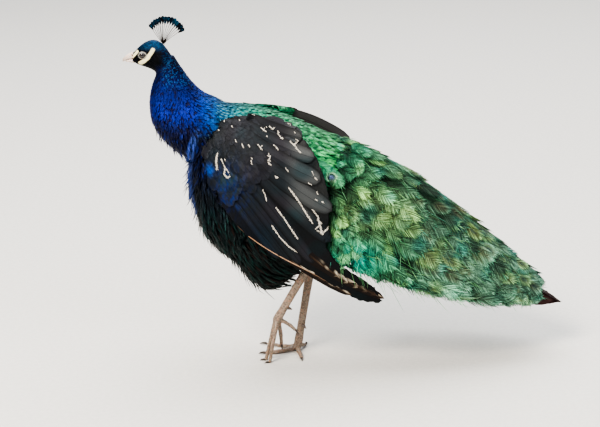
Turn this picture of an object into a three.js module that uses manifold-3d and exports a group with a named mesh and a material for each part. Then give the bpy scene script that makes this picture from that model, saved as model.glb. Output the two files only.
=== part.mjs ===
// A life-size standing peacock, male Indian peafowl, as a still museum-like model in millimetres, +Z up.
// The bird faces -X, its left side is towards -Y and its plane of symmetry is y = 0. Lengths below are
// written from an anatomical centre: x = 0 is over the feet and z = 0 is the floor. At the end the whole
// group is shifted along X, so that the origin lies at the bottom centre of the bounding box.
import * as THREE from 'three';
import { mergeVertices } from 'three/addons/utils/BufferGeometryUtils.js';
import Module from 'manifold-3d';

const wasm = await Module();
wasm.setup();

// ---- driving dimensions ------------------------------------------------------------------------

const GAP = 0.3;                       // clearance between neighbouring solids
const SIMPLIFY = 0.12;                 // a cut may move a surface by this much to shed slivers
const NECK_TURN = 2.6;                 // where the neck is parted, in neck stations
const BREAST_END_X = -95;              // plane between the breast and the back
const BELLY_TOP_Z = 335;               // plane between the back and the belly
const EYE = { x: -298.5, y: 11.2, z: 722.5, radius: 8.4 };
const CREST_ROOT = { x: -251, z: 744 };
const CREST_PLUMES = 12;
const SHAFT_THICKNESS = 1.1;
const WING_SPLIT = 128;                // coverts end this far along the wing
const PRIMARY_SPLIT_Z = 331;           // the primaries lie below this height
const TRAIN_THICKNESS = 20;
const TRAIN_FULLNESS = 0.86;           // below 1 squares the shoulders of the train's arch
const TRAIN_START_X = 92;
const TRAIN_SADDLE_END_X = 300;        // the saddle ends here, and the train's middle begins
const TRAIN_FLANK_Y = 62;              // the flanks lie outside this distance from the ridge
const TRAIN_EDGE = 88;                 // degrees from the ridge at which the train ends
const TOE_RADIUS = 5.6;
const CLAW_ARCH = 0.1;                 // rise of the claw's middle, as a share of its length

// Trunk sections, front to rear: top and bottom height, half width and how much the lower half narrows.
const TRUNK = [
  { x: -213, top: 462, bottom: 400, half: 27, lean: 0.0 },
  { x: -204, top: 525, bottom: 350, half: 58, lean: 0.05 },
  { x: -186, top: 560, bottom: 306, half: 80, lean: 0.08 },
  { x: -155, top: 590, bottom: 266, half: 97, lean: 0.12 },
  { x: -112, top: 610, bottom: 230, half: 110, lean: 0.2 },
  { x: -78, top: 607, bottom: 180, half: 115, lean: 0.35 },
  { x: -45, top: 600, bottom: 157, half: 116, lean: 0.45 },
  { x: -12, top: 590, bottom: 166, half: 115, lean: 0.42 },
  { x: 22, top: 576, bottom: 200, half: 112, lean: 0.3 },
  { x: 65, top: 556, bottom: 246, half: 103, lean: 0.2 },
  { x: 130, top: 514, bottom: 296, half: 84, lean: 0.1 },
  { x: 200, top: 464, bottom: 338, half: 58, lean: 0.0 },
  { x: 240, top: 432, bottom: 364, half: 34, lean: 0.0 },
];

// Neck sections from the head to the shoulders: front and back points in the plane of symmetry.
const NECK = [
  { frontX: -268, frontZ: 702, backX: -230, backZ: 719, half: 17 },
  { frontX: -271, frontZ: 680, backX: -220, backZ: 702, half: 22 },
  { frontX: -281, frontZ: 658, backX: -202, backZ: 674, half: 30 },
  { frontX: -290, frontZ: 628, backX: -182, backZ: 647, half: 40 },
  { frontX: -292, frontZ: 598, backX: -160, backZ: 628, half: 51 },
  { frontX: -289, frontZ: 567, backX: -135, backZ: 619, half: 63 },
  { frontX: -274, frontZ: 537, backX: -108, backZ: 606, half: 73 },
  { frontX: -248, frontZ: 506, backX: -88, backZ: 590, half: 79 },
  { frontX: -214, frontZ: 482, backX: -72, backZ: 570, half: 78 },
];

// Head sections from the bill to the nape.
const HEAD = [
  { x: -321, top: 726.5, bottom: 706, half: 7.5, lean: 0.0 },
  { x: -314, top: 733, bottom: 701, half: 12, lean: 0.0 },
  { x: -303, top: 743, bottom: 696, half: 16.5, lean: 0.0 },
  { x: -288, top: 752, bottom: 690, half: 20, lean: 0.0 },
  { x: -272, top: 755, bottom: 682, half: 22, lean: 0.0 },
  { x: -256, top: 748, bottom: 680, half: 22, lean: 0.0 },
  { x: -243, top: 732, bottom: 688, half: 18, lean: 0.0 },
  { x: -235, top: 718, bottom: 702, half: 8, lean: 0.0 },
];

const UPPER_BILL = [
  { x: -308, top: 731, bottom: 714.6, half: 9.2, lean: 0.0 },
  { x: -320, top: 728.5, bottom: 713.9, half: 7.2, lean: 0.0 },
  { x: -331, top: 724, bottom: 712.4, half: 5, lean: 0.0 },
  { x: -339, top: 718.5, bottom: 709.5, half: 2.9, lean: 0.0 },
  { x: -344, top: 713, bottom: 707, half: 1.3, lean: 0.0 },
];

const LOWER_BILL = [
  { x: -308, top: 714.2, bottom: 701.5, half: 8.6, lean: 0.1 },
  { x: -320, top: 713.4, bottom: 704, half: 6.6, lean: 0.1 },
  { x: -330, top: 711.8, bottom: 706.2, half: 4.6, lean: 0.1 },
  { x: -337.5, top: 709.2, bottom: 707.4, half: 2.2, lean: 0.0 },
];

// Edges of the folded wing, measured along its length from the wrist and across it. The left wing's upper
// edge falls away sooner, because that wing droops.
const WING = [
  { along: -24, left: 22, right: 18, lower: -2 },
  { along: -14, left: 44, right: 36, lower: -14 },
  { along: 16, left: 86, right: 68, lower: -30 },
  { along: 54, left: 121, right: 98, lower: -55 },
  { along: 98, left: 148, right: 126, lower: -76 },
  { along: 140, left: 157, right: 144, lower: -87 },
  { along: 200, left: 149, right: 159, lower: -93 },
  { along: 244, left: 127, right: 162, lower: -91 },
  { along: 284, left: 101, right: 158, lower: -86 },
  { along: 318, left: 66, right: 124, lower: -82 },
  { along: 345, left: 24, right: 60, lower: -78 },
  { along: 376, left: 4, right: 12, lower: -72 },
  { along: 428, left: 2, right: 2, lower: -60 },
  { along: 480, left: 8, right: 8, lower: -51 },
  { along: 525, left: 8, right: 8, lower: -38 },
  { along: 547, left: -6, right: -6, lower: -20 },
];

// The train is an arch over the tail: height of its ridge and of its lower edges, and its half width.
const TRAIN = [
  { x: 90, ridge: 543, edge: 268, half: 106 },
  { x: 130, ridge: 519, edge: 238, half: 116 },
  { x: 190, ridge: 491, edge: 211, half: 124 },
  { x: 254, ridge: 453, edge: 190, half: 127 },
  { x: 306, ridge: 418, edge: 174, half: 125 },
  { x: 363, ridge: 370, edge: 159, half: 118 },
  { x: 420, ridge: 318, edge: 146, half: 106 },
  { x: 477, ridge: 268, edge: 135, half: 88 },
  { x: 522, ridge: 226, edge: 129, half: 68 },
  { x: 560, ridge: 190, edge: 124, half: 47 },
  { x: 592, ridge: 160, edge: 121, half: 26 },
];

const TAIL = [
  { x: 200, top: 420, bottom: 376, half: 34, lean: 0.0 },
  { x: 300, top: 366, bottom: 316, half: 58, lean: 0.1 },
  { x: 400, top: 297, bottom: 246, half: 66, lean: 0.1 },
  { x: 500, top: 212, bottom: 166, half: 52, lean: 0.1 },
  { x: 560, top: 166, bottom: 124, half: 36, lean: 0.0 },
  { x: 608, top: 136, bottom: 106, half: 22, lean: 0.0 },
  { x: 640, top: 112, bottom: 101, half: 6, lean: 0.0 },
];

const UNDERTAIL = [
  { x: 70, top: 330, bottom: 236, half: 56, lean: 0.0 },
  { x: 130, top: 330, bottom: 242, half: 58, lean: 0.0 },
  { x: 200, top: 345, bottom: 256, half: 48, lean: 0.0 },
  { x: 270, top: 322, bottom: 258, half: 34, lean: 0.0 },
  { x: 330, top: 286, bottom: 246, half: 14, lean: 0.0 },
];

// The right leg carries the bird on a flat foot. The left one is set down lightly on the tips of its toes.
const LEGS = {
  right: {
    knee: [-48, 66, 318],
    hock: [59, 37, 196],
    ankle: [24, 36, 14],
    spur: { at: 0.72, reach: [8, -13, -5] },
    toes: {
      2: { path: [[24, 20, 6], [29, -6, 4.6], [31, -30, 4]], claw: [33, -44, 1] },
      3: { path: [[8, 28, 6.5], [-24, 15, 4.8], [-52, 14, 4.2]], claw: [-69, 18, 1] },
      4: { path: [[9, 44, 6], [-20, 62, 4.6], [-50, 79, 4]], claw: [-67, 88, 1] },
      1: { path: [[34, 46, 9], [40, 60, 4.4], [43, 72, 3.2]], claw: [46, 84, 1] },
    },
  },
  left: {
    knee: [-48, -66, 318],
    hock: [55, -33, 226],
    ankle: [-22, -24, 98],
    spur: { at: 0.76, reach: [13, 4, -7] },
    toes: {
      2: { path: [[-18, -17, 84], [-15, -6, 58], [-14, 4, 28]], claw: [-13, 12, 9] },
      3: { path: [[-29, -25, 82], [-40, -26, 40], [-51, -26, 1.2]], claw: [-65, -27, 1] },
      4: { path: [[-25, -33, 80], [-35, -42, 38], [-42, -45, 1]], claw: [-55, -49, 1] },
      1: { path: [[-8, -20, 92], [8, -17, 80], [19, -15, 68]], claw: [27, -14, 55] },
    },
  },
};

const TOE_TAPER = { 1: 0.8, 2: 0.92, 3: 1.0, 4: 0.9 };

// Each folded wing hangs from its wrist at a slope in degrees.
const SIDES = [
  { name: 'left', sign: -1, wrist: { x: -165, z: 540 }, slope: 44.5 },
  { name: 'right', sign: 1, wrist: { x: -162, z: 541 }, slope: 40 },
];

// ---- shape tools -------------------------------------------------------------------------------

// A smooth curve through the rows' values of one field, driven by another field.
function curveThrough(rows, driver, field) {
  const slope = (low, high) => (rows[high][field] - rows[low][field]) / (rows[high][driver] - rows[low][driver]);
  const last = rows.length - 1;
  const tangents = rows.map((_, i) => slope(Math.max(i - 1, 0), Math.min(i + 1, last)));
  const rising = rows[last][driver] > rows[0][driver];
  return (position) => {
    let i = 0;
    while (i < last - 1 && (rising ? position > rows[i + 1][driver] : position < rows[i + 1][driver])) {
      i += 1;
    }
    const span = rows[i + 1][driver] - rows[i][driver];
    const t = THREE.MathUtils.clamp((position - rows[i][driver]) / span, 0, 1);
    const t2 = t * t;
    const t3 = t2 * t;
    return (2 * t3 - 3 * t2 + 1) * rows[i][field] + (t3 - 2 * t2 + t) * span * tangents[i]
      + (3 * t2 - 2 * t3) * rows[i + 1][field] + (t3 - t2) * span * tangents[i + 1];
  };
}

// A closed solid over rings of equal length, its two ends closed by fans.
function loft(rings) {
  const sides = rings[0].length;
  const positions = [];
  const triangles = [];
  rings.flat().forEach((point) => positions.push(point.x, point.y, point.z));
  for (let r = 0; r < rings.length - 1; r += 1) {
    for (let s = 0; s < sides; s += 1) {
      const a = r * sides + s;
      const b = r * sides + (s + 1) % sides;
      triangles.push(a, b, a + sides, b, b + sides, a + sides);
    }
  }
  for (const [ring, flip] of [[0, true], [rings.length - 1, false]]) {
    const centre = rings[ring].reduce((sum, point) => sum.add(point), new THREE.Vector3());
    centre.divideScalar(sides);
    const hub = positions.length / 3;
    positions.push(centre.x, centre.y, centre.z);
    for (let s = 0; s < sides; s += 1) {
      const a = ring * sides + s;
      const b = ring * sides + (s + 1) % sides;
      triangles.push(...(flip ? [hub, b, a] : [hub, a, b]));
    }
  }
  return toSolid(positions, triangles);
}

function signedVolume(positions, triangles) {
  const corner = (i) => new THREE.Vector3().fromArray(positions, triangles[i] * 3);
  let sum = 0;
  for (let i = 0; i < triangles.length; i += 3) {
    sum += corner(i).dot(corner(i + 1).cross(corner(i + 2)));
  }
  return sum / 6;
}

function toSolid(positions, triangles) {
  if (signedVolume(positions, triangles) < 0) {
    triangles.reverse();
  }
  const mesh = new wasm.Mesh({
    numProp: 3,
    vertProperties: new Float32Array(positions),
    triVerts: new Uint32Array(triangles),
  });
  mesh.merge();
  return new wasm.Manifold(mesh);
}

function geometryToSolid(geometry) {
  const bare = geometry.clone();
  bare.deleteAttribute('normal');
  bare.deleteAttribute('uv');
  const merged = mergeVertices(bare, 1e-4);
  return toSolid(Array.from(merged.attributes.position.array), Array.from(merged.index.array));
}

// An upright oval ring at one x: `lean` narrows its lower half.
function uprightRing({ x, top, bottom, half, lean }, sides, power, grow) {
  const middle = (top + bottom) / 2;
  const tall = (top - bottom) / 2 + grow;
  const roundness = 2 / power;
  return Array.from({ length: sides }, (_, i) => {
    const angle = (i / sides) * Math.PI * 2;
    const up = Math.sign(Math.sin(angle)) * Math.abs(Math.sin(angle)) ** roundness;
    const out = Math.sign(Math.cos(angle)) * Math.abs(Math.cos(angle)) ** roundness;
    return new THREE.Vector3(x, (half + grow) * out * (1 + lean * Math.min(up, 0)), middle + tall * up);
  });
}

// A body along X through upright ovals. `grow` swells it, to cut a clearance into a neighbour.
function uprightBody(rows, steps, sides, { power = 2.15, grow = 0 } = {}) {
  const fields = ['top', 'bottom', 'half', 'lean'];
  const curves = fields.map((field) => curveThrough(rows, 'x', field));
  const first = rows[0].x;
  const last = rows[rows.length - 1].x;
  const outward = Math.sign(last - first) * grow;
  const rings = Array.from({ length: steps + 1 }, (_, i) => {
    const x = first + (last - first) * (i / steps);
    const ring = { x: x + (i === 0 ? -outward : 0) + (i === steps ? outward : 0) };
    fields.forEach((field, n) => { ring[field] = curves[n](x); });
    return uprightRing(ring, sides, power, grow);
  });
  return loft(rings);
}

// A length of the neck between two stations, through ovals that turn from the head to the shoulders.
function neckLength(from, to, steps, sides, grow = 0) {
  const rows = NECK.map((row, station) => ({ ...row, station }));
  const at = (field) => curveThrough(rows, 'station', field);
  const [frontX, frontZ, backX, backZ, half] = ['frontX', 'frontZ', 'backX', 'backZ', 'half'].map(at);
  const rings = Array.from({ length: steps + 1 }, (_, i) => {
    const station = from + (to - from) * (i / steps);
    const front = new THREE.Vector3(frontX(station), 0, frontZ(station));
    const back = new THREE.Vector3(backX(station), 0, backZ(station));
    const middle = front.clone().add(back).multiplyScalar(0.5);
    const across = back.clone().sub(front);
    const reach = across.length() / 2 + grow;
    across.normalize();
    return Array.from({ length: sides }, (__, n) => {
      const angle = (n / sides) * Math.PI * 2;
      const point = middle.clone().addScaledVector(across, reach * Math.sin(angle));
      point.y = (half(station) + grow) * Math.cos(angle);
      return point;
    });
  });
  return loft(rings);
}

// A limb along a smooth path: each stop has its centre, its half width across and its half depth.
function limb(stops, steps, sides) {
  const path = new THREE.CatmullRomCurve3(stops.map((stop) => new THREE.Vector3(...stop.at)), false, 'centripetal');
  const rows = stops.map((stop, i) => ({ ...stop, place: i / (stops.length - 1) }));
  const wide = curveThrough(rows, 'place', 'wide');
  const deep = curveThrough(rows, 'place', 'deep');
  const reference = new THREE.Vector3(...(stops[0].side ?? [0, 1, 0]));
  const rings = Array.from({ length: steps + 1 }, (_, i) => {
    const place = i / steps;
    const centre = path.getPoint(place);
    const tangent = path.getTangent(place);
    const depth = new THREE.Vector3().crossVectors(tangent, reference).normalize();
    const side = new THREE.Vector3().crossVectors(depth, tangent).normalize();
    return Array.from({ length: sides }, (__, n) => {
      const angle = (n / sides) * Math.PI * 2;
      return centre.clone()
        .addScaledVector(side, wide(place) * Math.cos(angle))
        .addScaledVector(depth, deep(place) * Math.sin(angle));
    });
  });
  return loft(rings);
}

// The largest of the separate bodies that a cut may leave.
function largest(solid) {
  return solid.decompose().reduce((best, piece) => (piece.volume() > best.volume() ? piece : best));
}

// ---- materials ---------------------------------------------------------------------------------

const finish = (color, roughness, metalness = 0) => new THREE.MeshStandardMaterial({ color, roughness, metalness });
const MATERIALS = {
  blue: finish(0x0b3f8f, 0.45, 0.2),
  bill: finish(0xc9beb4, 0.5),
  eye: finish(0x1c120c, 0.1),
  crest: finish(0x0f5a78, 0.5, 0.1),
  breast: finish(0x0f2a4a, 0.5, 0.1),
  mantle: finish(0x1a6e4a, 0.45, 0.2),
  belly: finish(0x14201f, 0.7),
  wing: finish(0x26262c, 0.5),
  quill: finish(0x4a3a2e, 0.6),
  train: finish(0x2f8a4c, 0.45, 0.2),
  tail: finish(0x3a2a26, 0.6),
  leg: finish(0xa08c7c, 0.65),
  claw: finish(0x3c3632, 0.5),
};

const peacock = new THREE.Group();

function addNode(name, solid, material) {
  const mesh = solid.simplify(SIMPLIFY).getMesh();
  const geometry = new THREE.BufferGeometry();
  geometry.setAttribute('position', new THREE.BufferAttribute(new Float32Array(mesh.vertProperties), 3));
  geometry.setIndex(new THREE.BufferAttribute(new Uint32Array(mesh.triVerts), 1));
  geometry.computeVertexNormals();
  const node = new THREE.Mesh(geometry, material);
  node.name = name;
  peacock.add(node);
}

// ---- head, bill, eyes and crest ----------------------------------------------------------------


function eyeball(sign, grow = 0) {
  const ball = new THREE.SphereGeometry(EYE.radius + grow, 11, 7);
  ball.translate(EYE.x, sign * EYE.y, EYE.z);
  return geometryToSolid(ball);
}

function head(grow = 0) {
  return uprightBody(HEAD, 9, 16, { power: 2.2, grow });
}

// A fan of bare shafts in the plane of symmetry, each with a small flat vane at its tip.
function crest() {
  const root = new THREE.SphereGeometry(4.5, 8, 6);
  root.translate(CREST_ROOT.x, 0, CREST_ROOT.z + 3);
  let fan = geometryToSolid(root);
  const start = THREE.MathUtils.degToRad(35);
  const sweep = THREE.MathUtils.degToRad(86);
  for (let i = 0; i < CREST_PLUMES; i += 1) {
    const share = i / (CREST_PLUMES - 1);
    const angle = start + sweep * share;
    const length = 58 + 7 * Math.sin(Math.PI * share) - 6 * share;
    const offset = (i % 2 === 0 ? 1 : -1) * 1.6;
    const out = (distance) => [
      CREST_ROOT.x + distance * Math.cos(angle),
      offset * (distance / length),
      CREST_ROOT.z + distance * Math.sin(angle),
    ];
    const stem = SHAFT_THICKNESS / 2;
    const plume = limb([
      { at: out(2), wide: stem * 1.2, deep: stem * 1.2 },
      { at: out(length * 0.76), wide: stem, deep: stem * 1.4 },
      { at: out(length * 0.9), wide: stem, deep: 4.8 },
      { at: out(length), wide: stem * 0.8, deep: 2.2 },
    ], 3, 4);
    fan = fan.add(plume);
  }
  return fan;
}

const headCut = head(GAP);
const crestFan = crest();
const crestOutside = largest(crestFan.subtract(headCut));
let headSolid = head();
for (const side of SIDES) {
  headSolid = headSolid.subtract(eyeball(side.sign, GAP));
  addNode(`eye_${side.name}`, eyeball(side.sign), MATERIALS.eye);
}
addNode('head', headSolid, MATERIALS.blue);
addNode('crest', crestOutside, MATERIALS.crest);
addNode('bill_upper', largest(uprightBody(UPPER_BILL, 6, 12).subtract(headCut)), MATERIALS.bill);
addNode('bill_lower', largest(uprightBody(LOWER_BILL, 6, 12).subtract(headCut)), MATERIALS.bill);

// ---- trunk and neck ----------------------------------------------------------------------------

function trunk(grow = 0) {
  return uprightBody(TRUNK, 14, 18, { power: 2.2, grow });
}

const FORWARD = [-1, 0, 0];
const REARWARD = [1, 0, 0];
const UPWARD = [0, 0, 1];
const DOWNWARD = [0, 0, -1];
const thighCuts = wasm.Manifold.union(SIDES.map((side) => thigh(LEGS[side.name], GAP)));
const trunkSolid = trunk().subtract(thighCuts);
const trunkCut = trunk(GAP).add(thighCuts);
const rearOfBreast = trunkSolid.trimByPlane(REARWARD, BREAST_END_X + GAP / 2);
addNode('breast', largest(trunkSolid.trimByPlane(FORWARD, -BREAST_END_X + GAP / 2)), MATERIALS.breast);
addNode('back', largest(rearOfBreast.trimByPlane(UPWARD, BELLY_TOP_Z + GAP / 2)), MATERIALS.mantle);

const neckEnd = NECK.length - 1;
const halfGapInStations = 0.005;
addNode(
  'neck_upper',
  largest(neckLength(0, NECK_TURN - halfGapInStations, 4, 16).subtract(headCut)),
  MATERIALS.blue,
);
addNode(
  'neck_lower',
  largest(neckLength(NECK_TURN + halfGapInStations, neckEnd, 7, 16).subtract(trunkCut)),
  MATERIALS.blue,
);

// ---- legs --------------------------------------------------------------------------------------

const floorTrim = (solid) => solid.trimByPlane(UPWARD, 0);

function thigh(leg, grow = 0) {
  const [kneeX, kneeY, kneeZ] = leg.knee;
  const [hockX, hockY, hockZ] = leg.hock;
  const along = (share) => [
    kneeX + (hockX - kneeX) * share,
    kneeY + (hockY - kneeY) * share,
    kneeZ + (hockZ - kneeZ) * share,
  ];
  return limb([
    { at: along(-0.25), wide: 38 + grow, deep: 58 + grow },
    { at: along(0.25), wide: 40 + grow, deep: 52 + grow },
    { at: along(0.6), wide: 27 + grow, deep: 33 + grow },
    { at: along(0.86), wide: 15 + grow, deep: 18 + grow },
    { at: along(1.0), wide: 9 + grow, deep: 11.5 + grow },
  ], 6, 12);
}

function mix(a, b, share) {
  return a.map((value, i) => value + (b[i] - value) * share);
}

function shank(leg, grow = 0) {
  return limb([
    { at: mix(leg.hock, leg.ankle, -0.02), wide: 8 + grow, deep: 11 + grow },
    { at: mix(leg.hock, leg.ankle, 0.12), wide: 7 + grow, deep: 10 + grow },
    { at: mix(leg.hock, leg.ankle, 0.5), wide: 5.8 + grow, deep: 9.2 + grow },
    { at: mix(leg.hock, leg.ankle, 0.85), wide: 6.4 + grow, deep: 9.4 + grow },
    { at: mix(leg.hock, leg.ankle, 0.98), wide: 9.5 + grow, deep: 10.5 + grow },
    { at: mix(leg.hock, leg.ankle, 1.05), wide: 7 + grow, deep: 7.5 + grow },
  ], 7, 10);
}

// A cone-like spur on the inner rear edge of the shank.
function spur(leg) {
  const root = mix(leg.hock, leg.ankle, leg.spur.at);
  const out = (share) => root.map((value, i) => value + leg.spur.reach[i] * share);
  return limb([
    { at: out(0), wide: 5, deep: 5.4, side: [0.3, 0.9, 0.4] },
    { at: out(0.7), wide: 4, deep: 4.4 },
    { at: out(1.35), wide: 0.9, deep: 0.9 },
  ], 4, 8);
}

// A toe swells at its root, its joint and its last pad, and its underside is flat where it meets the floor.
function toe(spec, taper, root, grow = 0) {
  const radius = TOE_RADIUS * taper + grow;
  const [first, middle, end] = spec.path;
  return limb([
    { at: root, wide: radius * 1.25, deep: radius * 1.25, side: [0.2, 0.9, 0.3] },
    { at: first, wide: radius * 1.2, deep: radius * 1.15 },
    { at: mix(first, middle, 0.55), wide: radius * 0.95, deep: radius * 0.95 },
    { at: middle, wide: radius * 1.05, deep: radius * 1.05 },
    { at: mix(middle, end, 0.55), wide: radius * 0.85, deep: radius * 0.85 },
    { at: end, wide: radius * 0.85, deep: radius * 0.85 },
  ], 6, 6);
}

// A curved claw on the end of its toe.
function claw(spec, taper) {
  const start = new THREE.Vector3(...spec.path[2]);
  const tip = new THREE.Vector3(...spec.claw);
  const middle = start.clone().lerp(tip, 0.5);
  middle.z += start.distanceTo(tip) * CLAW_ARCH;
  const radius = TOE_RADIUS * taper * 0.62;
  return limb([
    { at: start.toArray(), wide: radius, deep: radius, side: [0.2, 0.9, 0.3] },
    { at: middle.toArray(), wide: radius * 0.8, deep: radius * 0.85 },
    { at: tip.toArray(), wide: 0.6, deep: 0.7 },
  ], 3, 6);
}

for (const side of SIDES) {
  const leg = LEGS[side.name];
  const shankCut = shank(leg, GAP);
  const shankSolid = floorTrim(shank(leg));
  addNode(`${side.name}_thigh`, largest(thigh(leg).subtract(shankCut)), MATERIALS.belly);
  addNode(`${side.name}_shank`, shankSolid, MATERIALS.leg);
  addNode(`${side.name}_spur`, largest(spur(leg).subtract(shankCut)), MATERIALS.claw);
  let taken = shankCut;
  for (const digit of [3, 2, 4, 1]) {
    const spec = leg.toes[digit];
    const taper = TOE_TAPER[digit];
    const solid = largest(floorTrim(toe(spec, taper, leg.ankle)).subtract(taken));
    taken = taken.add(toe(spec, taper, leg.ankle, GAP));
    addNode(`${side.name}_toe_${digit}`, solid, MATERIALS.leg);
    addNode(`${side.name}_claw_${digit}`, largest(floorTrim(claw(spec, taper)).subtract(taken)), MATERIALS.claw);
  }
}
const belly = rearOfBreast.trimByPlane(DOWNWARD, -BELLY_TOP_Z + GAP / 2);
addNode('belly', largest(belly), MATERIALS.belly);

// ---- wings -------------------------------------------------------------------------------------

// How far the outer face of the folded wing stands from the plane of symmetry.
function wingReach(x, z) {
  const widest = 432;
  const rise = THREE.MathUtils.clamp((z - widest) / 178, 0, 0.99);
  const droop = Math.max(widest - z, 0);
  const front = THREE.MathUtils.smoothstep(x, -235, -70);
  const rear = THREE.MathUtils.smoothstep(x, 60, 260);
  const half = 136 * (0.55 + 0.45 * front) - 12 * rear;
  return half * Math.sqrt(1 - rise * rise) - 0.00055 * droop * droop;
}

function wing({ name, sign, wrist, slope }, grow = 0) {
  const turn = THREE.MathUtils.degToRad(slope);
  const upper = curveThrough(WING, 'along', name);
  const lower = curveThrough(WING, 'along', 'lower');
  const first = WING[0].along;
  const last = WING[WING.length - 1].along;
  const steps = 15;
  const across = 5;
  const place = (along, offset, inward) => {
    const x = wrist.x + along * Math.cos(turn) + offset * Math.sin(turn);
    const z = wrist.z - along * Math.sin(turn) + offset * Math.cos(turn);
    return new THREE.Vector3(x, sign * (wingReach(x, z) + grow - inward), z);
  };
  const rings = Array.from({ length: steps + 1 }, (_, i) => {
    const share = i / steps;
    const along = first + (last - first) * share;
    const outer = [];
    const inner = [];
    for (let n = 0; n <= across; n += 1) {
      const portion = n / across;
      const offset = THREE.MathUtils.lerp(lower(along) - grow, upper(along) + grow, portion);
      const fullness = Math.sin(Math.PI * portion) ** 0.6 * Math.sin(Math.PI * Math.min(0.06 + share * 0.9, 0.97));
      const thickness = 4 + 22 * fullness + 2 * grow;
      outer.push(place(along, offset, 0));
      inner.push(place(along, offset, thickness));
    }
    return outer.concat(inner.reverse());
  });
  return loft(rings);
}

const wingCuts = wasm.Manifold.union(SIDES.map((side) => wing(side, GAP)));
const bodyCut = trunkCut.add(neckLength(NECK_TURN, neckEnd, 7, 16, GAP));
for (const side of SIDES) {
  const turn = THREE.MathUtils.degToRad(side.slope);
  const alongWing = [Math.cos(turn), 0, -Math.sin(turn)];
  const wristAlong = side.wrist.x * alongWing[0] + side.wrist.z * alongWing[2];
  const whole = largest(wing(side).subtract(bodyCut));
  const backwards = alongWing.map((value) => -value);
  const coverts = whole.trimByPlane(backwards, -(wristAlong + WING_SPLIT - GAP / 2));
  const quills = whole.trimByPlane(alongWing, wristAlong + WING_SPLIT + GAP / 2);
  addNode(`${side.name}_wing_coverts`, largest(coverts), MATERIALS.wing);
  addNode(
    `${side.name}_wing_secondaries`,
    largest(quills.trimByPlane(UPWARD, PRIMARY_SPLIT_Z + GAP / 2)),
    MATERIALS.wing,
  );
  addNode(
    `${side.name}_wing_primaries`,
    largest(quills.trimByPlane(DOWNWARD, -PRIMARY_SPLIT_Z + GAP / 2)),
    MATERIALS.quill,
  );
}

// ---- train and tail ----------------------------------------------------------------------------

// The train's shell from the rump to its end, open below.
function trainShell(steps, across) {
  const [ridge, edge, half] = ['ridge', 'edge', 'half'].map((field) => curveThrough(TRAIN, 'x', field));
  const endX = TRAIN[TRAIN.length - 1].x;
  const place = (x, degrees, inward) => {
    const angle = THREE.MathUtils.degToRad(degrees);
    const tall = ridge(x) - edge(x);
    const out = Math.sign(angle) * Math.abs(Math.sin(angle)) ** TRAIN_FULLNESS;
    const up = Math.cos(angle) ** TRAIN_FULLNESS;
    const thin = Math.min(inward, half(x) * 0.6);
    return new THREE.Vector3(x, (half(x) - thin) * out, edge(x) + (tall - thin) * up);
  };
  const rings = Array.from({ length: steps + 1 }, (_, i) => {
    const x = TRAIN_START_X + (endX - TRAIN_START_X) * (i / steps);
    const outer = [];
    const inner = [];
    for (let n = 0; n <= across; n += 1) {
      const degrees = TRAIN_EDGE * (2 * (n / across) - 1);
      outer.push(place(x, degrees, 0));
      inner.push(place(x, degrees, TRAIN_THICKNESS));
    }
    return outer.concat(inner.reverse());
  });
  return loft(rings);
}

const tailCut = uprightBody(TAIL, 8, 12, { grow: GAP });
const trainCut = wasm.Manifold.union([trunkCut, wingCuts, tailCut]);
const train = trainShell(11, 10).subtract(trainCut);
const middleStrip = train
  .trimByPlane([0, 1, 0], -TRAIN_FLANK_Y + GAP / 2)
  .trimByPlane([0, -1, 0], -TRAIN_FLANK_Y + GAP / 2);
addNode(
  'train_saddle',
  largest(middleStrip.trimByPlane(FORWARD, -TRAIN_SADDLE_END_X + GAP / 2)),
  MATERIALS.mantle,
);
addNode('train_middle', largest(middleStrip.trimByPlane(REARWARD, TRAIN_SADDLE_END_X + GAP / 2)), MATERIALS.train);
for (const side of SIDES) {
  const flank = train.trimByPlane([0, side.sign, 0], TRAIN_FLANK_Y + GAP / 2);
  addNode(`train_${side.name}`, largest(flank), MATERIALS.train);
}

addNode('tail', largest(uprightBody(TAIL, 8, 12).subtract(trunkCut)), MATERIALS.tail);
addNode(
  'undertail',
  largest(uprightBody(UNDERTAIL, 6, 12).subtract(trunkCut).subtract(tailCut)),
  MATERIALS.belly,
);

// ---- origin at the bottom centre of the box ----------------------------------------------------

const box = new THREE.Box3().setFromObject(peacock);
peacock.position.x = -(box.min.x + box.max.x) / 2;

export default peacock;
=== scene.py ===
"""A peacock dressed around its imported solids: skin, coat of separate vanes, wings, train, tail, crest, legs."""

import math

import bpy
import numpy as np
from mathutils import Matrix, Vector
from mathutils.bvhtree import BVHTree
from mathutils.kdtree import KDTree


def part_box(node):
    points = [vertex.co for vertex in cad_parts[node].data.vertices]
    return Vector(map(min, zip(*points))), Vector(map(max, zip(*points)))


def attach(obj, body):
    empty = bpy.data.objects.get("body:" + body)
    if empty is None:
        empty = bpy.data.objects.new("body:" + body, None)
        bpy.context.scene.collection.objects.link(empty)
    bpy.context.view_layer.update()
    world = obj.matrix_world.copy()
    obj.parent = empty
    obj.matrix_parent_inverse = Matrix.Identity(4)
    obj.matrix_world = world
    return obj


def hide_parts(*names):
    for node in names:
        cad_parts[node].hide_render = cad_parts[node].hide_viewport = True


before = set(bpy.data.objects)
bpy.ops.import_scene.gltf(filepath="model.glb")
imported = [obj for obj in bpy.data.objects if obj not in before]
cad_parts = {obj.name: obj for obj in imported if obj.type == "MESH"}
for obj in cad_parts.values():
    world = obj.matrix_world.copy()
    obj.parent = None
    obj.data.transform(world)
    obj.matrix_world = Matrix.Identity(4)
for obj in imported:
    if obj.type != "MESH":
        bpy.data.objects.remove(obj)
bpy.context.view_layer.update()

# Lengths in the tables below are millimetres in the bird's own frame: x runs from bill to tail, z up from the floor,
# and the midline is y = 0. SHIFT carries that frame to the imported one.
MM = 0.001
BILL_TIP_X = -344 * MM
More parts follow.
